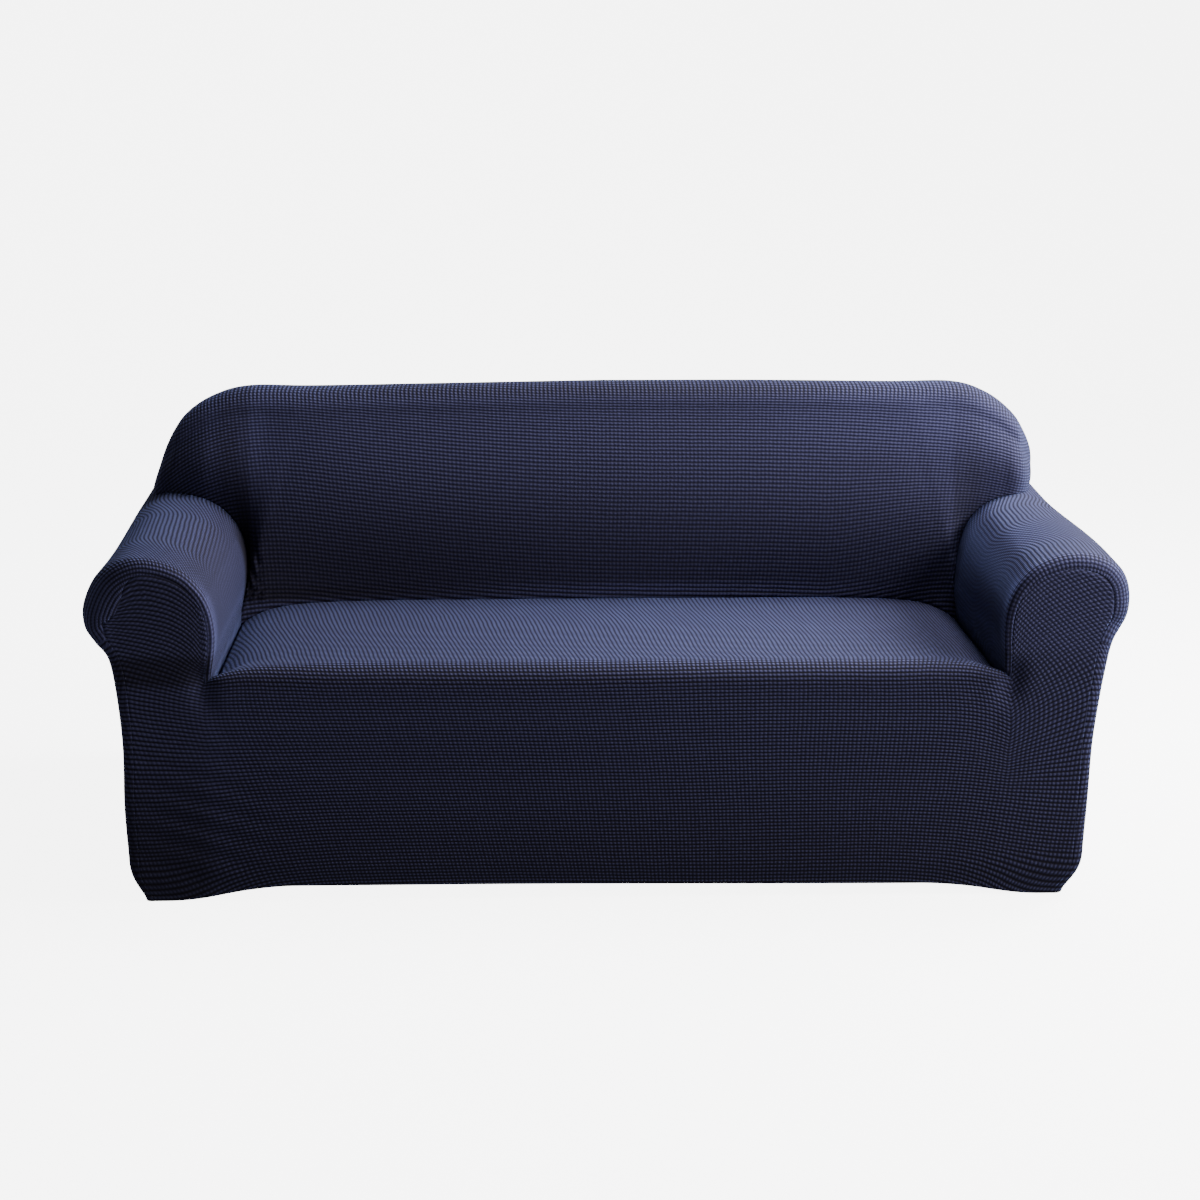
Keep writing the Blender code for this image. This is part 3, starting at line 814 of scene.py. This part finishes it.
def make_two_tone_knit():
    """Matte stretch knit in raised 8 mm checks, navy with a paler lilac-blue thread
    on top; the dark grooves between its rows run on unbroken, those between its
    columns are shallower, and the brushed checks are paler at a low angle."""
    material = bpy.data.materials.new("two_tone_check_knit_polyester")
    material.use_nodes = True
    tree = material.node_tree
    surface = tree.nodes["Principled BSDF"]
    chart = add_node(tree, "ShaderNodeUVMap", uv_map="knit").outputs[0]
    body = add_node(tree, "ShaderNodeTexCoord").outputs["Object"]
    uneven = add_noise(tree, body, UNEVEN_SCALE, 2.0)["Color"]
    shift = add_node(tree, "ShaderNodeVectorMath", [(0, uneven), (1, (0.5, 0.5, 0.5))],
                     operation="SUBTRACT").outputs[0]
    moved = add_node(tree, "ShaderNodeVectorMath",
                     [(0, shift), (1, UNEVEN_SHIFT), (2, chart)],
                     operation="MULTIPLY_ADD").outputs[0]
    split = add_node(tree, "ShaderNodeSeparateXYZ", [(0, moved)])
    waves = []
    for output, pitch in zip(split.outputs, (COLUMN_PITCH, ROW_PITCH)):
        turns = calc(tree, "MULTIPLY", output, 2 * math.pi / pitch)
        wave = calc(tree, "COSINE", turns)
        waves.append(calc(tree, "MULTIPLY_ADD", wave, 0.5, 0.5))
    # Where the cloth is drawn down its rows part, and over the seat and the arms it
    # spreads and its columns part
    pull = add_node(tree, "ShaderNodeAttribute", attribute_name="pull").outputs["Fac"]
    spread = add_node(tree, "ShaderNodeAttribute", attribute_name="spread").outputs["Fac"]
    row_depth = calc(tree, "MULTIPLY_ADD", pull, ROW_PULLED, ROW_GROOVE)
    column_depth = calc(tree, "MULTIPLY_ADD", spread, COLUMN_SPREAD, COLUMN_GROOVE)
    floors = []
    for wave, depth in zip(waves, (column_depth, row_depth)):
        hollow = calc(tree, "SUBTRACT", wave, 1.0)
        floors.append(calc(tree, "MULTIPLY_ADD", hollow, depth, 1.0))
    raised = calc(tree, "MULTIPLY", floors[0], floors[1])
    # Thread strength differs from check to check and slowly over the whole cover
    cell = add_noise(tree, body, SPECKLE_SCALE, 1.0)["Fac"]
    slow = add_noise(tree, body, FADE_SCALE, 3.0)["Fac"]
    speckle = calc(tree, "MULTIPLY_ADD", cell, SPECKLE, 1.0 - SPECKLE / 2)
    fade = calc(tree, "MULTIPLY_ADD", slow, FADE * 2, 1.0 - FADE)
    # This attribute carries painted light and painted shade besides the stretch; it scales
    # how much lilac thread the colour shows
    stretch_and_painted_light = add_node(tree, "ShaderNodeAttribute", attribute_name="stretch_and_painted_light").outputs["Fac"]
    thread_and_painted_light = calc(tree, "MULTIPLY", raised, stretch_and_painted_light)
    strength = calc(tree, "MULTIPLY", calc(tree, "MULTIPLY", thread_and_painted_light, speckle), fade)
    tint = add_node(tree, "ShaderNodeMix", [(0, strength)], data_type="RGBA")
    tint.inputs[6].default_value = colour(CHECK_DARK)
    tint.inputs[7].default_value = colour(CHECK_LIGHT)
    tree.links.new(tint.outputs[2], surface.inputs["Base Color"])
    relief = add_node(tree, "ShaderNodeBump", [("Height", raised), ("Distance", KNIT_RELIEF)])
    tree.links.new(relief.outputs[0], surface.inputs["Normal"])
    surface.inputs["Roughness"].default_value = KNIT_ROUGHNESS
    surface.inputs["Specular IOR Level"].default_value = KNIT_SPECULAR
    # The sheen weight follows the raised checks and, with them, the painted light and painted
    # shade
    sheen = calc(tree, "MULTIPLY_ADD", thread_and_painted_light, SHEEN_RAISED, SHEEN)
    tree.links.new(sheen, surface.inputs["Sheen Weight"])
    surface.inputs["Sheen Roughness"].default_value = SHEEN_ROUGHNESS
    surface.inputs["Sheen Tint"].default_value = colour(SHEEN_COLOUR)
    return material


two_tone_knit = make_two_tone_knit()
right = Arm(1.0, RIGHT_ARM, RIGHT_BACK)
add_panel("arm_right", right.patches(), inside=(0.87, 0.40, 0.40))

# ---------------------------------------------------------------------------
# Arm panel at -X
# The same cut over the other arm; it has been pulled further forward, so its front
# edge is rounder and the roll hangs in a little at mid-depth.

LEFT_ARM = (
    (0.768, 0.462, 0.010, 0.452, 0.000, 0.000),
    (0.758, 0.512, 0.010, 0.478, 0.000, 0.000),
    (0.754, 0.556, 0.011, 0.498, 0.000, 0.000),
    (0.760, 0.602, 0.013, 0.510, 0.000, 0.000),
    (0.778, 0.642, 0.016, 0.518, 0.000, 0.000),
    (0.808, 0.674, 0.019, 0.524, 0.000, 0.000),
    (0.848, 0.694, 0.022, 0.530, 0.000, 0.000),
    (0.892, 0.702, 0.026, 0.545, 0.000, 0.002),
    (0.932, 0.697, 0.036, 0.565, -0.006, 0.005),
    (0.966, 0.679, 0.044, 0.610, -0.010, 0.007),
    (0.992, 0.649, 0.048, 0.857, -0.011, 0.007),
    (1.010, 0.604, 0.046, 0.857, -0.008, 0.006),
    (1.006, 0.564, 0.034, 0.857, -0.004, 0.003),
    (0.986, 0.535, 0.024, 0.857, 0.000, 0.000),
    (0.962, 0.500, 0.022, 0.857, 0.000, 0.000),
    (0.951, 0.420, 0.021, 0.857, 0.000, 0.000),
    (0.946, 0.320, 0.020, 0.857, 0.000, 0.000),
    (0.950, 0.200, 0.020, 0.857, 0.000, 0.000),
    (0.948, 0.100, 0.020, 0.857, 0.000, 0.000),
    (0.945, 0.031, 0.014, 0.857, 0.000, 0.000),
)

LEFT_BACK = (
    (0.00, 0.000, 0.939, 0.000, 0.877),
    (0.28, 0.330, 0.934, 0.330, 0.873),
    (0.52, 0.610, 0.930, 0.615, 0.870),
    (0.66, 0.749, 0.931, 0.754, 0.871),
    (0.72, 0.826, 0.911, 0.830, 0.853),
    (0.77, 0.884, 0.873, 0.889, 0.818),
    (0.82, 0.922, 0.820, 0.927, 0.770),
    (0.87, 0.947, 0.768, 0.958, 0.722),
    (0.93, 0.970, 0.714, 0.984, 0.686),
    (1.00, 1.001, 0.654, 1.001, 0.654),
)

left = Arm(-1.0, LEFT_ARM, LEFT_BACK)
add_panel("arm_left", left.patches(), inside=(-0.87, 0.40, 0.40))

# ---------------------------------------------------------------------------
# Seat and front
# One panel for the seat, both arm fronts and the skirt: it runs from the crease
# with the back over the seat's edge to the hem, tucked into the seat and arm
# creases and overlocked to the arm panels just inside the front edges.

SEAT_COLUMNS = 190
SEAT_EDGE_RADIUS = 0.040
SEAT_CREASE_HEIGHT = 0.477
SEAT_CREASE_DEPTH = 0.495
SEAT_CROWN = 0.004
SIDE_POWER = 16
CREASE_POWER = 5
RELAX_ROUNDS = 120

EDGE_TURN = {-1.0: (0.022, 0.020), 1.0: (0.008, 0.014)}
EDGE_TURN_OUT = 0.90
EDGE_TURN_UP = (0.53, 0.11)
EDGE_TURN_START = (GROOVE_TOP, 0.05)
SEAT_SLANT = 0.17
SEAT_SLANT_RISE = 0.12
SEAT_SLANT_BAND = (-0.02, 0.05)
SEAT_CARRY = (0.0, 0.08)
SEAT_STRAY = 0.0030
SEAT_STRAY_BAND = (0.0, 0.1)
SEAT_STRAY_WAVES = (5.0, 19.0)


def blend_patch(bottom, top, left, right):
    """Rows of points that fill the space inside four boundary lines. bottom and top
    run from left to right, left and right from bottom to top."""
    columns = len(bottom) - 1
    rows = len(left) - 1
    patch = []
    for j in range(rows + 1):
        v = j / rows
        row = []
        for i in range(columns + 1):
            u = i / columns
            across = left[j].lerp(right[j], u)
            upward = bottom[i].lerp(top[i], v)
            corners = bottom[0].lerp(bottom[-1], u).lerp(top[0].lerp(top[-1], u), v)
            row.append(across + upward - corners)
        patch.append(row)
    return patch


def relaxed(patch):
    """The same patch with its inner points evened out between its borders."""
    for _ in range(RELAX_ROUNDS):
        for j in range(1, len(patch) - 1):
            for i in range(1, len(patch[0]) - 1):
                around = patch[j - 1][i] + patch[j + 1][i] + patch[j][i - 1] + patch[j][i + 1]
                patch[j][i] = around / 4
    return patch


def seat_patch():
    """From the front shoulder over the seat's edge to the crease with the back."""
    patch = []
    for j in range(len(left.seat_crease)):
        if j <= EDGE_END:
            turn = math.pi / 2 * j / EDGE_END
            y = SEAT_EDGE_RADIUS * (1 - math.cos(turn))
            z = SEAT_EDGE_HEIGHT - SEAT_EDGE_RADIUS * (1 - math.sin(turn))
        else:
            share = (j - EDGE_END) / ARM_STEPS
            y = mix(SEAT_EDGE_RADIUS, SEAT_CREASE_DEPTH, share)
            z = mix(SEAT_EDGE_HEIGHT, SEAT_CREASE_HEIGHT, share)
            z += SEAT_CROWN * math.sin(math.pi * share)
        row = []
        for i in range(SEAT_COLUMNS + 1):
            u = i / SEAT_COLUMNS
            aside = left.seat_crease[j].lerp(right.seat_crease[j], u)
            off = abs(2 * u - 1)
            depth = mix(y, aside.y, off ** CREASE_POWER)
            height = mix(z, aside.z, off ** SIDE_POWER)
            row.append(Vector((aside.x, depth, height)))
        patch.append(row)
    return patch


def arm_front(arm):
    """The level line at the foot of an arm's front, and the patch above it."""
    wall = WALL_STEPS
    seam = arm.front_seam
    end = seam[SHOULDER_LINE]
    ledge = [seam[0].lerp(end, k / ARCH_STEPS) for k in range(ARCH_STEPS + 1)]
    for point in ledge[1:-1]:
        point.y = 0.0
    arch = seam[wall:CORNER_LINE + 1]
    outside = seam[CORNER_LINE:SHOULDER_LINE + 1][::-1]
    patch = relaxed(blend_patch(ledge, arch, seam[:wall + 1], outside))
    for row in patch[1:-1]:
        for point in row[1:-1]:
            point.y = 0.0
    return ledge, patch


def seat_knit(patch):
    """The seat's places on the knit: the front's, carried back over the edge along
    each column and slanted, with a slow wave."""
    maps = []
    starts = [front_knit(point) for point in patch[0]]
    lengths = [0.0] * len(patch[0])
    for j, row in enumerate(patch):
        places = []
        for i, point in enumerate(row):
            if j:
                lengths[i] += (point - patch[j - 1][i]).length
            back = max(point.y - SEAT_EDGE_RADIUS, 0.0)
            u = mix(front_knit(point)[0], point.x, risen(lengths[i], SEAT_CARRY))
            slant = SEAT_SLANT - SEAT_SLANT_RISE * point.x
            u += slant * back * risen(back, SEAT_SLANT_BAND)
            stray = SEAT_STRAY * risen(back, SEAT_STRAY_BAND)
            u += stray * sway(point.x, back, SEAT_STRAY_WAVES)
            places.append((u, starts[i][1] + lengths[i]))
        maps.append(places)
    return maps


def edge_rows(arm, point):
    """How much further up the cloth a point of an arm's front lies because the rows
    turn beside its edge and follow it."""
    seam = arm.front_seam[:SHOULDER_LINE]
    arch = [front_knit(spot)[1] for spot in seam[WALL_STEPS:]]
    limit, reach = EDGE_TURN[arm.side]
    near = min(seam, key=lambda spot: (spot - point).length_squared)
    missing = max(max(arch) - front_knit(near)[1], 0.0)
    turn = limit * (1.0 - math.exp(-missing / limit))
    if abs(near.x) > EDGE_TURN_OUT:
        turn *= risen(near.z, EDGE_TURN_UP)
    away = math.hypot(near.x - point.x, near.z - point.z)
    return turn * math.exp(-away / reach) * risen(point.z, EDGE_TURN_START)


def seat_and_front():
    seat = seat_patch()
    left_ledge, left_front = arm_front(left)
    right_ledge, right_front = arm_front(right)
    shoulder = left_ledge[::-1] + seat[0][1:] + right_ledge[1:]
    left_edge = left.front_seam[SHOULDER_LINE:][::-1]
    right_edge = right.front_seam[SHOULDER_LINE:][::-1]
    hem = []
    for point in shoulder:
        share = (point.x - shoulder[0].x) / (shoulder[-1].x - shoulder[0].x)
        low = left_edge[0].lerp(right_edge[0], share)
        if 0 < share < 1:
            low.y = 0.0
        hem.append(low)
    skirt = blend_patch(hem, shoulder, left_edge, right_edge)
    for row in skirt[:-1]:
        for point in row[1:-1]:
            point.y = 0.0
    patches = [(seat, seat_knit(seat))]
    for arm, patch in ((left, left_front), (right, right_front)):
        places = []
        for row in patch:
            spots = [(*front_knit(point), edge_rows(arm, point)) for point in row]
            places.append([(u, v + more) for u, v, more in spots])
        patches.append((patch, places))
    patches.append((skirt, [[front_knit(point) for point in row] for row in skirt]))
    return patches


add_panel("seat_and_front", seat_and_front(),
          inside=(0.0, 0.40, 0.20))

# ---------------------------------------------------------------------------
# Inside back and top
# The panel people lean on: from the crease with the seat and arms up the leaning
# face, over the rounded top and ends, to a seam just round the rear edge.

FACE_STEPS = 56
TOP_STEPS = 24
BEND_STEPS = 12
BACK_LEAN = math.radians(9.0)
BACK_CROWN = 0.030
CROWN_POWER = 4
CORNER_POWER = 4
TOP_ROUND = 0.062
TOP_ROUND_SHARE = 0.45
BEZIER_ARC = 0.552
BACK_FAN = 0.12
BACK_FAN_TOP = 0.9
BACK_FAN_POWER = 3
TURN_OVER = (-0.02, 0.04)
BACK_STRAY = 0.0020
BACK_STRAY_WAVES = (6.0, 14.0)
ROW_FALL = 0.068
FACE_RATE = 0.84
FACE_CLOSER = 0.080
CLOSER_REACH = 0.09
ROW_WAVE = 0.0141
ROW_WAVE_START = -0.6
ROW_WAVE_RATE = 3.9
BOW_START = {-1.0: 0.58, 1.0: 0.68}
BOW_REACH = 0.32
BOW_DROP = 0.085
BOW_POWER = 3
ARM_RISE = 0.062
ARM_RISE_ALONG = (0.45, 0.35)
ARM_RISE_UP = (0.58, 0.26)


def rounded_corner(a, corner, b):
    """Points from a towards b that round the corner between them."""
    before = a - corner
    after = b - corner
    start = corner + before.normalized() * min(TOP_ROUND, TOP_ROUND_SHARE * before.length)
    end = corner + after.normalized() * min(TOP_ROUND, TOP_ROUND_SHARE * after.length)
    pull_a = start.lerp(corner, BEZIER_ARC)
    pull_b = end.lerp(corner, BEZIER_ARC)
    return interpolate_bezier(start, pull_a, pull_b, end, BEND_STEPS)


def face_depth(height):
    """How far back the leaning face lies at a height."""
    return SEAT_CREASE_DEPTH + (height - SEAT_CREASE_HEIGHT) * math.tan(BACK_LEAN)


def back_line(arm, share, foot):
    """One line of the inside back, from its foot in the crease over the top to the
    seam on the rear face."""
    rows = arm.back_rows
    place = place_of(rows, 0, share)
    out, up, rear_out, rear_up = through(rows, place)[1:]
    brow = Vector((arm.side * out, max(face_depth(up), foot.y), up))
    rear = Vector((arm.side * rear_out, REAR_START, rear_up))
    bend = rounded_corner(foot, brow, rear)
    line = []
    forward = min(foot.y - face_depth(foot.z), 0.0)
    for k in range(FACE_STEPS):
        t = k / FACE_STEPS
        point = foot.lerp(bend[0], t)
        bulge = BACK_CROWN * (1 - share ** CROWN_POWER)
        point.y -= bulge * math.sin(math.pi * t)
        point.y += forward * ((1 - t) ** CORNER_POWER - (1 - t))
        line.append(point)
    line += bend
    line += [bend[-1].lerp(rear, k / TOP_STEPS) for k in range(1, TOP_STEPS + 1)]
    ahead = through(rows, min(place + LOOK, len(rows) - 1))
    behind = through(rows, max(place - LOOK, 0))
    along = Vector((ahead[3] - behind[3], ahead[4] - behind[4])).normalized()
    spots = []
    for turn in quarter_turns()[1:]:
        inset = REAR_RADIUS * (1 - math.cos(turn))
        spots.append((inset, REAR_START + REAR_RADIUS * math.sin(turn)))
    spots.append((REAR_RADIUS + SEAM_STRIP, REAR_DEPTH))
    for inset, y in spots:
        x = rear_out + along.y * inset
        z = rear_up - along.x * inset
        line.append(Vector((arm.side * x, y, z)))
    return line, brow


def half_back(arm, seat_feet):
    """Lines of the inside back from the middle of the seat to one rear corner, and
    their places on the knit. The rows follow the upper edge; towards the middle of
    the face they fall a little to +X."""
    feet = seat_feet + arm.back_crease[1:]
    run = run_along(feet)
    lines = []
    maps = []
    along = 0.0
    last_brow = None
    for foot, distance in zip(feet[:-1], run):
        line, brow = back_line(arm, distance / run[-1], foot)
        if last_brow:
            along += math.dist(brow.xz, last_brow.xz)
        last_brow = brow
        lines.append(line)
        maps.append(back_knit(line, arm.side * along))
    rise = FACE_STEPS + BEND_STEPS + TOP_STEPS
    lines.append([feet[-1]] * rise + arm.rear_lines[0][1:])
    maps.append(list(maps[-1]))
    return lines, maps


def face_rows(point):
    """How far up the cloth a point of the face lies. The rows fall a little to +X,
    bow down towards both ends, and rise again beside the arm at +X."""
    side = math.copysign(1.0, point.x)
    out = max(abs(point.x) - BOW_START[side], 0.0) / BOW_REACH
    down = (TOP_HEIGHT - point.z) / math.cos(BACK_LEAN)
    v = -FACE_RATE * down - FACE_CLOSER * (1.0 - math.exp(-max(down, 0.0) / CLOSER_REACH))
    v += BOW_DROP * out ** BOW_POWER + ROW_FALL * point.x
    v += ROW_WAVE * math.sin((point.x - ROW_WAVE_START) * ROW_WAVE_RATE)
    return v - ARM_RISE * risen(point.x, ARM_RISE_ALONG) * fallen(point.z, ARM_RISE_UP)


def back_knit(line, along):
    lengths = run_along(line)
    turn = FACE_STEPS + BEND_STEPS // 2
    brow = line[turn]
    extra = along - brow.x
    places = []
    for k, point in enumerate(line):
        length = lengths[k] - lengths[turn]
        over = risen(length, TURN_OVER)
        share = min(k / turn, 1.0) ** BACK_FAN_POWER
        fan = point.x * math.exp(-BACK_FAN * (point.z - BACK_FAN_TOP))
        u = mix(fan + extra * share, along, over)
        v = mix(face_rows(point), face_rows(brow) + length, over)
        u += BACK_STRAY * sway(point.x, point.z, BACK_STRAY_WAVES)
        places.append((u, v))
    return places


crease = seat_patch()[-1]
middle = SEAT_COLUMNS // 2
left_lines, left_maps = half_back(left, crease[middle::-1])
right_lines, right_maps = half_back(right, crease[middle:])
back_lines = left_lines[::-1] + right_lines[1:]
back_maps = left_maps[::-1] + right_maps[1:]
add_panel("inside_back", [(back_lines, back_maps)],
          inside=(0.0, 0.75, 0.60))

# ---------------------------------------------------------------------------
# Outside back
# The flat panel that closes the rear, sewn to the arms and to the inside back just
# inside their rear edges; it hangs straight to the hem.

REAR_CORNER_SHARE = 0.38


def outside_back():
    seam = [line[-1] for line in back_lines]
    ends = []
    for arm, top in ((left, seam), (right, seam[::-1])):
        corner = round(REAR_CORNER_SHARE * len(arm.rear_seam))
        ends.append((arm.rear_seam[::-1] + top[1:corner + 1], corner))
    (left_edge, left_corner), (right_edge, right_corner) = ends
    top = seam[left_corner:len(seam) - right_corner]
    count = len(top) - 1
    hem = [left_edge[0].lerp(right_edge[0], k / count) for k in range(count + 1)]
    return blend_patch(hem, top, left_edge, right_edge)


rear = outside_back()
rear_map = [[(point.x, point.z) for point in row] for row in rear]
add_panel("outside_back", [(rear, rear_map)],
          inside=(0.0, 0.70, 0.45))

# ---------------------------------------------------------------------------
# Studio
# A white seamless sweep, its own soft glow keeping it even, which sheds no light on
# the cloth; three large soft lamps at +X, high, low and further back, a wide one
# overhead and a faint fill, with the camera a little above the back's top.

FLOOR = -TOP_MOUNT.z
SWEEP_HALF = 9.0
SWEEP_FRONT = -8.0
SWEEP_REAR = 4.0
SWEEP_RADIUS = 2.5
SWEEP_TOP = 7.0
SWEEP_STEPS = 12
SWEEP_COLOUR = "f4f4f4"
SWEEP_ROUGHNESS = 0.9
SWEEP_GLOW = 6.0
SKY_STRENGTH = 0.155
LENS_LENGTH = 66.15
SENSOR_WIDTH = 36.0
CAMERA_PLACE = (-0.113, -4.645, 0.882)
CAMERA_TILT = math.radians(73.6)
CAMERA_TURN = math.radians(-1.35)

profile = [(SWEEP_FRONT, FLOOR)]
for k in range(SWEEP_STEPS + 1):
    turn = math.pi / 2 * k / SWEEP_STEPS
    depth = SWEEP_REAR + SWEEP_RADIUS * math.sin(turn)
    profile.append((depth, FLOOR + SWEEP_RADIUS * (1 - math.cos(turn))))
profile.append((SWEEP_REAR + SWEEP_RADIUS, SWEEP_TOP))
sweep_mesh = bmesh.new()
grid = bmesh.ops.create_grid(sweep_mesh, x_segments=1, y_segments=len(profile) - 1, size=1.0)
for vertex in grid["verts"]:
    y, z = profile[round((vertex.co.y + 1) / 2 * (len(profile) - 1))]
    vertex.co = (vertex.co.x * SWEEP_HALF, y, z)
sweep_data = bpy.data.meshes.new("studio_sweep")
sweep_mesh.to_mesh(sweep_data)
sweep_mesh.free()
sweep_data.shade_smooth()
paint = bpy.data.materials.new("matte_white_studio_paint")
paint.use_nodes = True
paint_surface = paint.node_tree.nodes["Principled BSDF"]
paint_surface.inputs["Base Color"].default_value = colour(SWEEP_COLOUR)
paint_surface.inputs["Roughness"].default_value = SWEEP_ROUGHNESS
paint_surface.inputs["Emission Color"].default_value = colour("ffffff")
paint_surface.inputs["Emission Strength"].default_value = SWEEP_GLOW
sweep_data.materials.append(paint)
sweep = bpy.data.objects.new("studio_sweep", sweep_data)
bpy.context.scene.collection.objects.link(sweep)
sweep.visible_diffuse = False
sweep.visible_glossy = False


def add_lamp(name, place, aim, size, power, tint):
    lamp = bpy.data.lights.new(name, "AREA")
    lamp.shape = "DISK"
    lamp.size = size
    lamp.energy = power
    lamp.color = colour(tint)[:3]
    holder = bpy.data.objects.new(name, lamp)
    holder.location = place
    holder.rotation_euler = (Vector(aim) - Vector(place)).to_track_quat("-Z", "Y").to_euler()
    bpy.context.scene.collection.objects.link(holder)


add_lamp("key_lamp", (2.9, -1.0, 1.4), (0.1, -0.1, -0.4), 1.2, 99.0, "ffffff")
add_lamp("low_lamp", (3.2, -2.4, 0.2), (0.1, -0.2, -0.4), 1.2, 45.0, "ffffff")
add_lamp("rear_lamp", (2.6, 0.6, 1.2), (0.1, -0.2, -0.4), 1.2, 84.0, "ffffff")
add_lamp("top_lamp", (1.4, 0.3, 2.4), (0.1, -0.2, -0.4), 1.6, 118.0, "f4f6ff")

sky = bpy.data.worlds.new("pale_studio")
sky.use_nodes = True
sky_light = sky.node_tree.nodes["Background"]
sky_light.inputs["Color"].default_value = colour("ffffff")
sky_light.inputs["Strength"].default_value = SKY_STRENGTH
bpy.context.scene.world = sky

lens = bpy.data.cameras.new("front_camera")
lens.lens = LENS_LENGTH
lens.sensor_width = SENSOR_WIDTH
camera = bpy.data.objects.new("front_camera", lens)
camera.location = CAMERA_PLACE
camera.rotation_euler = (CAMERA_TILT, 0.0, CAMERA_TURN)
bpy.context.scene.collection.objects.link(camera)
bpy.context.scene.camera = camera
